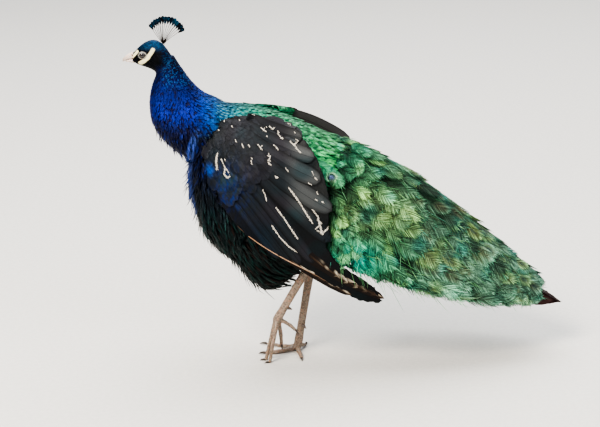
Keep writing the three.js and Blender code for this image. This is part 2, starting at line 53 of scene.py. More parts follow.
SHIFT = np.array([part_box("bill_upper")[0].x - BILL_TIP_X, 0.0, 0.0])

# ---------------------------------------------------------------- camera, floor and light

CAMERA_PLACE = (0.0393, -4.1757, 1.5)
CAMERA_PITCH = math.radians(15.5)
CAMERA_ROLL = math.radians(1.97)
LENS = 114.0


def add_camera():
    data = bpy.data.cameras.new("camera")
    data.sensor_width = 36.0
    data.lens = LENS
    camera = bpy.data.objects.new("camera", data)
    ahead = Vector((0, math.cos(CAMERA_PITCH), -math.sin(CAMERA_PITCH)))
    across = Vector((1, 0, 0))
    over = Vector((0, math.sin(CAMERA_PITCH), math.cos(CAMERA_PITCH)))
    right = math.cos(CAMERA_ROLL) * across - math.sin(CAMERA_ROLL) * over
    top = math.sin(CAMERA_ROLL) * across + math.cos(CAMERA_ROLL) * over
    turn = Matrix((right, top, -ahead)).transposed().to_4x4()
    camera.matrix_world = Matrix.Translation(Vector(CAMERA_PLACE) + Vector(SHIFT)) @ turn
    bpy.context.scene.collection.objects.link(camera)
    bpy.context.scene.camera = camera


def srgb(text):
    """Linear colour of a hex code."""
    code = np.array([int(text[k : k + 2], 16) for k in (1, 3, 5)]) / 255
    return np.where(code <= 0.04045, code / 12.92, ((code + 0.055) / 1.055) ** 2.4)


def rgba(text):
    return (*srgb(text), 1.0)


class Shader:
    """A small wrapper that adds nodes to one material and links them."""

    def __init__(self, name):
        self.material = bpy.data.materials.new(name)
        self.material.use_nodes = True
        self.tree = self.material.node_tree
        self.tree.nodes.clear()
        self.surface = self.add("ShaderNodeBsdfPrincipled")
        out = self.add("ShaderNodeOutputMaterial")
        self.tree.links.new(self.surface.outputs[0], out.inputs[0])

    def add(self, kind, inputs=None, **settings):
        node = self.tree.nodes.new(kind)
        for key, value in settings.items():
            setattr(node, key, value)
        for key, value in (inputs or {}).items():
            self.put(node, key, value)
        return node

    def put(self, node, key, value):
        socket = node.inputs[key]
        if isinstance(value, bpy.types.NodeSocket):
            self.tree.links.new(value, socket)
        elif isinstance(value, bpy.types.Node):
            self.tree.links.new(value.outputs[0], socket)
        else:
            socket.default_value = value

    def set(self, **values):
        for key, value in values.items():
            self.put(self.surface, key.replace("_", " "), value)

    def math(self, operation, *values, clamp=False):
        node = self.add("ShaderNodeMath", dict(enumerate(values)), operation=operation)
        node.use_clamp = clamp
        return node.outputs[0]

    def attribute(self, name):
        return self.add("ShaderNodeAttribute", attribute_name=name)

    def noise(self, vector, scale, detail=3.0, distortion=0.0):
        values = {"Vector": vector, "Scale": scale, "Detail": detail, "Distortion": distortion}
        return self.add("ShaderNodeTexNoise", values).outputs["Fac"]

    def mix(self, factor, a, b, blend="MIX"):
        node = self.add("ShaderNodeMix", data_type="RGBA", blend_type=blend)
        for index, value in zip((0, 6, 7), (factor, a, b)):
            self.put(node, index, value)
        return node.outputs[2]

    def spread(self, value, low, high, out_low=0.0, out_high=1.0):
        values = {"Value": value, "From Min": low, "From Max": high, "To Min": out_low, "To Max": out_high}
        return self.add("ShaderNodeMapRange", values).outputs[0]

    def bump(self, height, strength, distance):
        node = self.add("ShaderNodeBump", {"Height": height, "Strength": strength, "Distance": distance})
        self.put(self.surface, "Normal", node)


def floor_material():
    shader = Shader("floor")
    place = shader.add("ShaderNodeTexCoord").outputs["Object"]
    grain = shader.noise(place, 90.0, 5.0)
    shader.set(Base_Color=shader.mix(grain, rgba("#c9c6c0"), rgba("#dad7d1")), Roughness=0.85)
    shader.bump(grain, 0.15, 0.001)
    return shader.material


def add_stage():
    bpy.ops.mesh.primitive_plane_add(size=40.0, location=(0, 0, 0))
    floor = bpy.context.object
    floor.name = "floor"
    floor.data.materials.append(floor_material())
    world = bpy.data.worlds.new("studio")
    world.use_nodes = True
    sky = world.node_tree.nodes["Background"]
    sky.inputs["Color"].default_value = rgba("#e9eef5")
    sky.inputs["Strength"].default_value = 0.6
    bpy.context.scene.world = world
    bpy.context.scene.view_settings.look = "AgX - High Contrast"
    lamps = (
        ("key", (-2.4, -3.4, 4.4), 2.2, 430.0, "#fff6ea"),
        ("fill", (3.4, -3.0, 2.6), 3.0, 60.0, "#eaf2ff"),
        ("top", (0.4, 2.2, 6.0), 7.0, 520.0, "#ffffff"),
    )
    for name, place, size, power, colour in lamps:
        data = bpy.data.lights.new(name, "AREA")
        data.size = size
        data.energy = power
        data.color = srgb(colour)
        lamp = bpy.data.objects.new(name, data)
        lamp.location = place
        lamp.rotation_euler = (Vector((0, 0, 0.4)) - Vector(place)).to_track_quat("-Z", "Y").to_euler()
        bpy.context.scene.collection.objects.link(lamp)


add_camera()
add_stage()

# ---------------------------------------------------------------- numeric helpers


def unit(vectors):
    return vectors / np.maximum(np.linalg.norm(vectors, axis=-1, keepdims=True), 1e-12)


def smooth(value, low, high):
    t = np.clip((value - low) / (high - low), 0, 1)
    return t * t * (3 - 2 * t)


def ramp(value, stops):
    """Colour at a value between named stops [(value, hex), ...]."""
    at = [stop[0] for stop in stops]
    colours = np.array([srgb(stop[1]) for stop in stops])
    return np.stack([np.interp(value, at, colours[:, k]) for k in range(3)], axis=-1)


def blend(a, b, share):
    share = np.asarray(share)[..., None]
    return a * (1 - share) + b * share


def wobble(points, size, seed=0.0):
    """Smooth repeatable noise in -1..1 over points, with features of about the given size."""
    p = points / size
    x, y, z = p[..., 0], p[..., 1], p[..., 2]
    a = np.sin(1.7 * x + 2.3 * y - 1.1 * z + seed) + np.sin(-2.1 * x + 1.3 * y + 2.9 * z + 1.7 * seed)
    b = np.sin(3.1 * x - 0.7 * y + 1.9 * z - 2.3 * seed) + np.sin(0.9 * x + 3.7 * y - 2.7 * z + 0.6 * seed)
    return (a + b) / 4


def guided(points, table):
    """Direction at each point, from guides (x, z, dx, dz, dy outward) read on both sides of the midline."""
    guides = np.array(table, float)
    place = points[..., None, (0, 2)] - guides[:, :2] * MM
    weight = 1 / ((place**2).sum(-1) + (15 * MM) ** 2) ** 2
    weight /= weight.sum(-1, keepdims=True)
    lie = weight @ guides[:, 2:5]
    outward = np.where(points[..., 1] < 0, -1.0, 1.0)
    return unit(np.stack([lie[..., 0], lie[..., 2] * outward, lie[..., 1]], axis=-1))


class Surface:
    """A triangle mesh that points can be scattered on and laid along."""

    def __init__(self, verts, tris):
        self.verts = verts
        self.tris = tris
        corners = verts[tris]
        cross = np.cross(corners[:, 1] - corners[:, 0], corners[:, 2] - corners[:, 0])
        self.areas = np.linalg.norm(cross, axis=1) / 2
        normals = np.zeros_like(verts)
        for k in range(3):
            np.add.at(normals, tris[:, k], cross)
        self.normals = unit(normals)
        self.tree = BVHTree.FromPolygons(verts.tolist(), tris.tolist())

    def at(self, points, index):
        """Smooth normals at points on the triangles of that index."""
        a, b, c = (self.verts[self.tris[index, k]] for k in range(3))
        n = np.cross(b - a, c - a)
        full = np.maximum((n * n).sum(1), 1e-20)
        wb = (np.cross(points - a, c - a) * n).sum(1) / full
        wc = (np.cross(b - a, points - a) * n).sum(1) / full
        share = np.clip(np.stack([1 - wb - wc, wb, wc], axis=1), 0, 1)
        return unit(sum(self.normals[self.tris[index, k]] * share[:, k : k + 1] for k in range(3)))

    def near(self, points):
        hits = [self.tree.find_nearest(p) for p in points.tolist()]
        found = np.array([hit[0] for hit in hits])
        return found, self.at(found, np.array([hit[2] for hit in hits]))

    def scatter(self, keep, spacing, rng):
        """Points on the surface, none closer together than the spacing there, with their normals."""
        middles = self.verts[self.tris].mean(1)
        gap = np.broadcast_to(spacing(middles), len(middles)) if callable(spacing) else np.full(len(middles), spacing)
        wanted = np.where(keep(middles, self.normals[self.tris].mean(1)), (4.5 if gap.min() < 8 * MM else 14) * self.areas / gap**2, 0)
        count = np.floor(wanted + rng.random(len(wanted))).astype(int)
        index = np.repeat(np.arange(len(wanted)), count)
        rng.shuffle(index)
        r = np.sqrt(rng.random(len(index)))
        s = rng.random(len(index))
        a, b, c = (self.verts[self.tris[index, k]] for k in range(3))
        points = a * (1 - r)[:, None] + b * (r * (1 - s))[:, None] + c * (r * s)[:, None]
        tree = KDTree(len(points))
        for k, p in enumerate(points.tolist()):
            tree.insert(p, k)
        tree.balance()
        free = np.ones(len(points), bool)
        reach = gap[index]
        chosen = []
        for k, p in enumerate(points.tolist()):
            if free[k]:
                chosen.append(k)
                for _, other, _ in tree.find_range(p, reach[k]):
                    free[other] = False
        chosen = np.array(chosen, int)
        return points[chosen], self.at(points[chosen], index[chosen])


def lay(surface, roots, normals, lie, length, rows):
    """Centre lines of feathers that follow the surface from their roots along its lie, and their normals."""
    centre, up = [roots], [normals]
    step = (length / (rows - 1))[:, None]
    point, normal = roots, normals
    for _ in range(rows - 1):
        ahead = lie(point)
        ahead = unit(ahead - normal * (ahead * normal).sum(1, keepdims=True))
        target = point + ahead * step
        found, found_normal = surface.near(target)
        away = np.linalg.norm(found - target, axis=1, keepdims=True) > 0.5 * step
        point = np.where(away, target, found)
        normal = np.where(away, normal, unit(found_normal + 0.5 * normal))
        centre.append(point)
        up.append(normal)
    return np.stack(centre, 1), np.stack(up, 1)


# ---------------------------------------------------------------- meshes and pieces

TRI_LIMIT = 190000
PATCH = 0.003


def new_object(name, verts, tris):
    mesh = bpy.data.meshes.new(name)
    mesh.vertices.add(len(verts))
    mesh.vertices.foreach_set("co", (verts + SHIFT).astype(np.float32).ravel())
    mesh.loops.add(tris.size)
    mesh.loops.foreach_set("vertex_index", tris.astype(np.int32).ravel())
    mesh.polygons.add(len(tris))
    mesh.polygons.foreach_set("loop_start", np.arange(0, tris.size, 3, dtype=np.int32))
    mesh.polygons.foreach_set("use_smooth", np.ones(len(tris), bool))
    mesh.update(calc_edges=True)
    obj = bpy.data.objects.new(name, mesh)
    bpy.context.scene.collection.objects.link(obj)
    return obj


def dress(obj, tris, material, slot, tint=None, vane=None, patch=None, stands_for=()):
    """Gives a piece its material, attributes and bake map, and hangs it on the frame."""
    mesh = obj.data
    if tint is not None:
        layer = mesh.attributes.new("tint", "FLOAT_COLOR", "POINT")
        values = np.concatenate([np.clip(tint, 0, 1), np.ones((len(tint), 1))], axis=1)
        layer.data.foreach_set("color", values.astype(np.float32).ravel())
    if vane is not None:
        layer = mesh.attributes.new("vane", "FLOAT_VECTOR", "POINT")
        layer.data.foreach_set("vector", vane.astype(np.float32).ravel())
    if patch is not None:
        uv = mesh.uv_layers.new(name="OFBake")
        uv.data.foreach_set("uv", patch[tris.ravel()].astype(np.float32).ravel())
    mesh.materials.append(material)
    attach(obj, "root")
    if stands_for:
        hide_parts(*stands_for)
    return obj


def repeat_mesh(name, verts, template, material, slot, tint, vane, patch, sharp=None, stands_for=()):
    """Makes one mesh, or several under the limit, of items that share a template of triangles."""
    count, size = verts.shape[:2]
    per_piece = TRI_LIMIT // len(template)
    parts = math.ceil(count / per_piece)
    for part in range(parts):
        chosen = slice(part * per_piece, min(count, (part + 1) * per_piece))
        here = verts[chosen]
        offsets = np.arange(len(here))[:, None, None] * size
        tris = (template[None] + offsets).reshape(-1, 3)
        obj = new_object(name if parts == 1 else f"{name}_{part + 1}", here.reshape(-1, 3), tris)
        if sharp is not None:
            edges = np.zeros(len(obj.data.edges) * 2, np.int32)
            obj.data.edges.foreach_get("vertices", edges)
            rim = sharp[edges.reshape(-1, 2) % size].all(1)
            layer = obj.data.attributes.new("sharp_edge", "BOOLEAN", "EDGE")
            layer.data.foreach_set("value", rim)
        own = [None if a is None else a[chosen].reshape(-1, a.shape[-1]) for a in (tint, vane, patch)]
        dress(obj, tris, material, slot, *own, stands_for=stands_for if part == 0 else ())


def vane_template(rows, columns):
    """Triangles of a closed vane: rows of top points and a keel point each, then one tip point."""
    wide = columns + 1
    tris = []

    def quad(a, b, c, d):
        tris.extend([(a, b, c), (a, c, d)])

    for r in range(rows - 2):
        base, ahead = r * wide, (r + 1) * wide
        for c in range(columns - 1):
            quad(base + c, base + c + 1, ahead + c + 1, ahead + c)
        quad(base, ahead, ahead + columns, base + columns)
        quad(base + columns, ahead + columns, ahead + columns - 1, base + columns - 1)
    last, tip = (rows - 2) * wide, (rows - 1) * wide
    for c in range(columns - 1):
        tris.append((last + c, last + c + 1, tip))
        tris.append((columns, c + 1, c))
    tris.append((last, tip, last + columns))
    tris.append((last + columns, tip, last + columns - 1))
    rim = np.zeros(tip + 1, bool)
    for r in range(rows - 1):
        rim[[r * wide, r * wide + columns - 1]] = True
    rim[tip] = True
    return np.array(tris), rim


def vanes(name, centre, up, half, material, slot, tint, where, columns=3, cup=0.25, thick=0.25 * MM, **more):
    """Closed vanes over centre lines (N, rows, 3). half is (N, rows), where maps roots to the unwrap in 0..1.

    tint(points, s, t) gives the colour of the points, s from root to tip and t from edge to edge.
    """
    count, rows = centre.shape[:2]
    ahead = unit(np.gradient(centre, axis=1))
    side = unit(np.cross(ahead, up))
    up = unit(np.cross(side, ahead))
    t = np.linspace(-1, 1, columns)
    s = np.linspace(0, 1, rows)
    reach = half[..., None, None] * t[:, None] * side[:, :, None]
    drop = -np.asarray(cup)[..., None, None, None] * half[..., None, None] * (t**2)[:, None] * up[:, :, None]
    top = centre[:, :, None] + reach + drop
    jag = more.get("jag")
    if jag is not None:
        top = top + jag(top, s, t, side, ahead)
    keel = centre - up * (thick + np.asarray(cup)[..., None, None] * half[..., None] * 0.35)
    grid = np.concatenate([top, keel[:, :, None]], axis=2)
    colours = tint(top, s[None, :, None], t[None, None, :])
    under = colours[:, :, columns // 2] * more.get("under", 0.5)
    colours = np.concatenate([colours, under[:, :, None]], axis=2)
    length = np.linalg.norm(np.diff(centre, axis=1), axis=2).sum(1)
    lot = np.random.default_rng(count).random(count)
    data = np.zeros(grid.shape)
    data[..., 0] = length[:, None, None] * s[None, :, None]
    data[..., :columns, 1] = half[..., None] * t
    data[..., 2] = lot[:, None, None]
    root = where(centre[:, 0])
    spot = np.zeros(grid.shape[:3] + (2,))
    spot[..., 0] = root[:, None, None, 0] + PATCH * (s[None, :, None] - 0.5)
    spot[..., :columns, 1] = root[:, None, None, 1] + PATCH * t / 2
    spot[..., columns, 1] = root[:, None, 1]

    def pack(values):
        body = values[:, :-1].reshape(count, -1, values.shape[-1])
        return np.concatenate([body, values[:, -1:, columns // 2]], axis=1)

    template, rim = vane_template(rows, columns)
    arrays = [pack(a) for a in (colours, data, np.clip(spot, 0, 1))]
    repeat_mesh(name, pack(grid), template, material, slot, *arrays, rim, more.get("stands_for", ()))


def tubes(name, path, radius, material, slot, tint, where, sides=3, flat=1.0, up=None, roots=None, stands_for=()):
    """Closed tapering threads along paths (N, rows, 3) with radius (N, rows), pointed at the tip."""
    count, rows = path.shape[:2]
    ahead = unit(np.gradient(path, axis=1))
    guide = np.broadcast_to([0.0, 1.0, 0.02], ahead.shape) if up is None else up
    side = unit(np.cross(ahead, guide))
    over = np.cross(side, ahead)
    turn = np.arange(sides) * 2 * math.pi / sides
    ring = side[:, :, None] * np.cos(turn)[:, None] + flat * over[:, :, None] * np.sin(turn)[:, None]
    grid = path[:, :, None] + ring * radius[..., None, None]
    tris = []
    for r in range(rows - 2):
        for c in range(sides):
            a, b = r * sides + c, r * sides + (c + 1) % sides
            tris.extend([(a, a + sides, b + sides), (a, b + sides, b)])
    last, tip = (rows - 2) * sides, (rows - 1) * sides
    for c in range(sides):
        tris.append((last + c, tip, last + (c + 1) % sides))
    for c in range(1, sides - 1):
        tris.append((0, c, c + 1))
    s = np.linspace(0, 1, rows)
    colours = np.repeat((tint(path, s[None]) if callable(tint) else tint)[:, :, None], sides, axis=2)
    data = np.zeros(grid.shape)
    data[..., 0] = s[None, :, None] * 0.05
    root = where(path[:, 0] if roots is None else roots)
    spot = np.zeros(grid.shape[:3] + (2,))
    spot[..., 0] = root[:, None, None, 0] + PATCH * (s[None, :, None] - 0.5)
    spot[..., 1] = root[:, None, None, 1] + PATCH * (np.arange(sides) / sides - 0.5)

    def pack(values):
        body = values[:, :-1].reshape(count, -1, values.shape[-1])
        return np.concatenate([body, values[:, -1:, 0]], axis=1)

    arrays = [pack(a) for a in (colours, data, np.clip(spot, 0, 1))]
    repeat_mesh(name, pack(grid), np.array(tris), material, slot, *arrays, None, stands_for)


# ---------------------------------------------------------------- skin

SIDES = (("left", -1.0), ("right", 1.0))
LEG_PARTS = ("shank", "toe_1", "toe_2", "toe_3", "toe_4")
CORE = ["head", "neck_upper", "neck_lower", "breast", "back", "belly", "left_thigh", "right_thigh"]
LEGS = [f"{side}_{part}" for side, _ in SIDES for part in LEG_PARTS]
EYE = np.array([-298.5, 11.2, 722.5]) * MM
EYE_RADIUS = 8.4 * MM
WELD = 0.6 * MM


def welded(names, grow=0.0):
    """Vertices and triangles of CAD nodes in the bird's frame, pushed out a little."""
    all_verts, all_tris, base = [], [], 0
    for name in names:
        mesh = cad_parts[name].data
        mesh.calc_loop_triangles()
        co = np.zeros(len(mesh.vertices) * 3)
        mesh.vertices.foreach_get("co", co)
        tris = np.zeros(len(mesh.loop_triangles) * 3, np.int32)
        mesh.loop_triangles.foreach_get("vertices", tris)
        key, back = np.unique(np.round(co.reshape(-1, 3) * 1e6), axis=0, return_inverse=True)
        verts = key * 1e-6 - SHIFT
        tris = back.ravel()[tris].reshape(-1, 3)
        verts = verts + Surface(verts, tris).normals * grow
        all_verts.append(verts)
        all_tris.append(tris + base)
        base += len(verts)
    return np.concatenate(all_verts), np.concatenate(all_tris)


def evaluated(obj):
    """Vertices and triangles of an object with its modifiers; the object is then deleted."""
    mesh = bpy.data.meshes.new_from_object(obj.evaluated_get(bpy.context.evaluated_depsgraph_get()))
    mesh.calc_loop_triangles()
    verts = np.zeros(len(mesh.vertices) * 3)
    mesh.vertices.foreach_get("co", verts)
    tris = np.zeros(len(mesh.loop_triangles) * 3, np.int32)
    mesh.loop_triangles.foreach_get("vertices", tris)
    bpy.data.objects.remove(obj)
    return verts.reshape(-1, 3) - SHIFT, tris.reshape(-1, 3)


def remeshed(names, voxel, rounds, share=1.0, grow=WELD, soft=None):
    """One closed surface around CAD nodes, smoothed, and decimated where it is soft."""
    obj = new_object("draft", *welded(names, grow))
    cut = obj.modifiers.new("voxel", "REMESH")
    cut.mode = "VOXEL"
    cut.voxel_size = voxel
    obj = new_object("draft", *evaluated(obj))
    verts = np.zeros(len(obj.data.vertices) * 3)
    obj.data.vertices.foreach_get("co", verts)
    group = obj.vertex_groups.new(name="soft")
    level = np.full(len(verts) // 3, 10) if soft is None else np.round(10 * soft(verts.reshape(-1, 3) - SHIFT))
    for k in range(11):
        group.add(np.nonzero(level == k)[0].tolist(), k / 10, "REPLACE")
    ease = obj.modifiers.new("ease", "SMOOTH")
    ease.factor = 0.5
    ease.iterations = rounds
    ease.vertex_group = "soft"
    if share < 1:
        thin = obj.modifiers.new("thin", "DECIMATE")
        thin.ratio = share
        thin.vertex_group = "soft"
    return evaluated(obj)


def sunk(verts, tris, depth, part=0.35):
    """The surface moved in by a depth, but never more than a part of what is behind each point."""
    surface = Surface(verts, tris)
    behind = np.full(len(verts), 1.0)
    for k, (p, n) in enumerate(zip(verts.tolist(), surface.normals.tolist())):
        hit = surface.tree.ray_cast(Vector(p) - Vector(n) * 1e-4, -Vector(n), 0.1)
        if hit[0] is not None:
            behind[k] = hit[3]
    limit = np.minimum(depth, part * behind)
    return verts - surface.normals * limit[:, None]


def leg_share(points):
    """1 on the bare legs and toes, 0 on the feathered body, and in between where they meet."""
    body = np.array([core_tree.find_nearest(p)[3] for p in points.tolist()])
    leg = np.array([leg_tree.find_nearest(p)[3] for p in points.tolist()])
    return smooth(body - leg, -3 * MM, 3 * MM)


def soft_share(points):
    """How freely the skin is smoothed: fully on the body, little on the head and legs."""
    x, z = points[:, 0] / MM, points[:, 2] / MM
    head = smooth(z, 672, 700)
    low = smooth(z, 300, 260) * (np.abs(points[:, 1]) < 60 * MM) * smooth(x, -75, -60) * smooth(z, 250, 215)
    return np.clip(1 - head * 0.9 - low, 0.1, 1)


def skin_depth(points, leg):
    x, z = points[:, 0] / MM, points[:, 2] / MM
    deep = np.interp(z, [480, 540, 600, 660, 700, 712], [9, 7, 5, 3, 1.6, 1.2])
    deep = np.where(x > -180, np.maximum(deep, 8 * smooth(x, -180, -120)), deep)
    return deep * MM * (1 - leg)


def stroke(x, z, path, width):
    """1 inside a stroke of points (x, z) mm and width mm, falling to 0 over its edge."""
    best = np.full(np.shape(x), 1e9)
    for (ax, az), (bx, bz) in zip(path, path[1:]):
        dx, dz = bx - ax, bz - az
        t = np.clip(((x - ax) * dx + (z - az) * dz) / max(dx * dx + dz * dz, 1e-9), 0, 1)
        best = np.minimum(best, np.hypot(x - ax - t * dx, z - az - t * dz))
    return 1 - smooth(best, width * 0.75, width * 1.2)


LORE = [(-323, 716), (-316, 723), (-309, 731)]
CHEEK = [(-304, 705), (-296, 709), (-286, 718), (-279, 727), (-274, 735)]
LID_OUT = (10.6, 9.0)


def bare_face(points):
    """1 on the white bare skin of the lore and cheek."""
    x, z = points[..., 0] / MM, points[..., 2] / MM
    cheek = stroke(x, z, CHEEK[:3], 5.0) + stroke(x, z, CHEEK[2:], 4.4)
    return np.clip(stroke(x, z, LORE, 2.6) + cheek, 0, 1) * (x < -268)


core_tree = Surface(*welded(CORE)).tree
leg_tree = Surface(*welded(LEGS)).tree
skin_verts, skin_tris = remeshed(CORE + LEGS, 1.5 * MM, 90, 0.17, soft=soft_share)
skin_leg = leg_share(skin_verts)
skin_verts = sunk(skin_verts, skin_tris, skin_depth(skin_verts, skin_leg) * (1 - bare_face(skin_verts)) + WELD)
skin = Surface(skin_verts, skin_tris)


def around_eye(points, scale=1.0):
    x, z = points[..., 0] / MM, points[..., 2] / MM
    return np.hypot((x - EYE[0] / MM) / LID_OUT[0], (z - EYE[2] / MM) / LID_OUT[1]) < scale


BODY_DOWN = [(700, "#061038"), (660, "#08195a"), (620, "#102070"), (590, "#132480"), (565, "#0e1648"), (540, "#0b0e2a")]
BODY_DOWN += [(500, "#060f30"), (455, "#070f26"), (400, "#0c1822"), (330, "#0f1d1f"), (200, "#111e1c")]
BACK_ALONG = [(-205, "#0a2680"), (-165, "#0a3a88"), (-130, "#0b5280"), (-90, "#0f6f74"), (-50, "#1c7f68"), (0, "#2f8a5e")]
BACK_ALONG += [(60, "#3c905c"), (140, "#449458"), (240, "#3d8c52")]

# The line down the breast's front, next to its outline, along which a blue-grey sheen is painted.
SHEEN_STRIP_PATH = [(-180, 556), (-196, 525), (-204, 491), (-209, 450), (-207, 410), (-201, 366)]


def body_tint(points):
    """The bird's colour field over its head, neck and body, with a painted blue-grey sheen down the breast's front."""
    x, y, z = (points[..., k] / MM for k in range(3))
    down = sorted(BODY_DOWN)
    colour = ramp(z, down)
    top = smooth(z, 535, 580) * smooth(x, -200, -150)
    colour = blend(colour, ramp(x, BACK_ALONG), np.maximum(top, smooth(x, -60, 20) * smooth(z, 400, 460)))
    front = smooth(x, -262, -274) * smooth(z, 655, 690)
    side = smooth(x, -246, -262) * smooth(z, 690, 704) * smooth(z, 742, 728)
    colour = blend(colour, srgb("#05070f"), np.maximum(front, side) * (z > 640))
    crown = smooth(z, 728, 742)
    colour = blend(colour, srgb("#0c3a5e"), crown)
    # Painted sheen: a blue-grey strip along the breast's front edge.
    rim = stroke(x, z, SHEEN_STRIP_PATH, 9)
    colour = blend(colour, srgb("#2f4076"), rim * 0.85)
    mottle = 0.5 + 0.5 * wobble(points, 14 * MM, 1.0)
    return colour * (0.75 + 0.5 * mottle)[..., None]


def skin_tint(points, leg):
    # Under the coat the skin takes the body's colour at half brightness, as painted shade between the feathers.
    colour = body_tint(points) * 0.5
    horn = ramp(points[..., 2] / MM, [(0, "#8a7360"), (60, "#9c8672"), (200, "#a08e7c")])
    mottle = 0.8 + 0.35 * (0.5 + 0.5 * wobble(points, 5 * MM, 2.0))
    colour = blend(colour, horn * mottle[..., None], leg)
    bare = bare_face(points)
    return blend(colour, srgb("#e8deb2"), bare)


# The unwraps: each gives a place in 0..1 on the form's own surface.


def wrap_body(points):
    """Round the body: the way down the bird's length, and the angle about its middle."""
    x, y, z = (points[..., k] / MM for k in range(3))
    neck = smooth(z, 560, 600) * (x < -150)
    along = np.where(neck > 0.5, 0.30 - (z - 580) / 900, 0.30 + (x + 215) / 900)
    middle_z = np.interp(x, [-215, -60, 100, 300], [430, 400, 400, 330])
    middle_x = np.interp(z, [570, 630, 690, 730], [-190, -232, -240, -285])
    angle = np.where(neck > 0.5, np.arctan2(y, x - middle_x), np.arctan2(y, z - middle_z))
    return np.clip(np.stack([along, 0.5 + angle / (2 * math.pi) * 0.98], axis=-1), 0.002, 0.998)


def wrap_side(points):
    """A lengthwise and upright unwrap of a wing's flat form, one half of the map for each side."""
    x, y, z = (points[..., k] / MM for k in range(3))
    half = np.where(y < 0, 0.0, 0.5)
    return np.clip(np.stack([(x + 260) / 560, half + (z - 100) / 1150], axis=-1), 0.002, 0.998)


def wrap_train(points):
    """Round the train: its length and the angle about its middle."""
    x, y, z = (points[..., k] / MM for k in range(3))
    middle = np.interp(x, [90, 300, 640], [400, 250, 110])
    angle = np.arctan2(y, z - middle)
    return np.clip(np.stack([(x - 60) / 620, 0.5 + angle / (2 * math.pi) * 0.98], axis=-1), 0.002, 0.998)


# ---------------------------------------------------------------- materials


PLUMAGE_SPECULAR = 0.22


def feather_material(name, roughness=0.5, metallic=0.25, barb=0.9 * MM, depth=0.35, shaft="#000000", shaft_mix=0.5):
    """Tinted vane with slanting barbs, a shaft line and a soft gloss."""
    shader = Shader(name)
    tint = shader.attribute("tint").outputs["Color"]
    vane = shader.attribute("vane").outputs["Vector"]
    parts = shader.add("ShaderNodeSeparateXYZ", {0: vane})
    aside = shader.math("ABSOLUTE", parts.outputs[1])
    slant = shader.math("SUBTRACT", parts.outputs[0], shader.math("MULTIPLY", aside, 0.8))
    grain = shader.noise(vane, 260.0, 2.0)
    phase = shader.math("ADD", shader.math("MULTIPLY", slant, 2 * math.pi / barb), shader.math("MULTIPLY", grain, 5.0))
    line = shader.spread(shader.math("SINE", phase), -1.0, 1.0)
    shade = shader.mix(line, (1 - depth, 1 - depth, 1 - depth, 1), (1 + depth * 0.4,) * 3 + (1,))
    colour = shader.mix(1.0, tint, shade, "MULTIPLY")
    quill = shader.spread(aside, 0.25 * MM, 0.8 * MM, shaft_mix, 0.0)
    shader.set(Base_Color=shader.mix(quill, colour, rgba(shaft)), Roughness=roughness, Metallic=metallic)
    shader.set(Specular_IOR_Level=PLUMAGE_SPECULAR)
    shader.bump(line, 0.35, 0.0004)
    return shader.material


def barb_material(name, roughness=0.5, metallic=0.2):
    shader = Shader(name)
    tint = shader.attribute("tint").outputs["Color"]
    place = shader.add("ShaderNodeTexCoord").outputs["Object"]
    grain = shader.spread(shader.noise(place, 300.0, 2.0), 0.3, 0.7, 0.75, 1.2)
    shade = shader.add("ShaderNodeCombineColor", {0: grain, 1: grain, 2: grain})
    shader.set(Base_Color=shader.mix(1.0, tint, shade.outputs[0], "MULTIPLY"))
    shader.set(Roughness=roughness, Metallic=metallic, Specular_IOR_Level=PLUMAGE_SPECULAR)
    return shader.material


def hide_material():
    """Skin: bare scaly legs and face, and the ground under the coat, darkened as painted shade."""
    shader = Shader("skin")
    tint = shader.attribute("tint").outputs["Color"]
    place = shader.add("ShaderNodeTexCoord").outputs["Object"]
    scale = shader.add("ShaderNodeTexVoronoi", {"Vector": place, "Scale": 1100.0}, feature="DISTANCE_TO_EDGE")
    seam = shader.spread(scale.outputs["Distance"], 0.0, 0.12, 0.86, 1.03)
    shade = shader.add("ShaderNodeCombineColor", {0: seam, 1: seam, 2: seam})
    shader.set(Base_Color=shader.mix(1.0, tint, shade.outputs[0], "MULTIPLY"), Roughness=0.62)
    shader.set(Subsurface_Weight=0.08, Subsurface_Scale=0.003)
    shader.bump(seam, 0.3, 0.0003)
    return shader.material


SKIN = hide_material()
SLEEK = feather_material("sleek_feathers", 0.42, 0.45, 0.8 * MM, 0.3, "#02040a", 0.3)
BROAD = feather_material("broad_feathers", 0.5, 0.3, 1.3 * MM, 0.4, "#0b1a0c", 0.35)
WINGS = feather_material("wing_feathers", 0.45, 0.2, 1.1 * MM, 0.28, "#08080a", 0.6)
DULL = feather_material("dull_feathers", 0.7, 0.0, 1.2 * MM, 0.35, "#16100b", 0.5)
BARBS = barb_material("barbs")

skin_obj = new_object("skin", skin_verts, skin_tris)
dress(
    skin_obj, skin_tris, SKIN, "leg_skin", skin_tint(skin_verts, skin_leg), None, wrap_body(skin_verts), CORE + LEGS
)

# ---------------------------------------------------------------- body coat

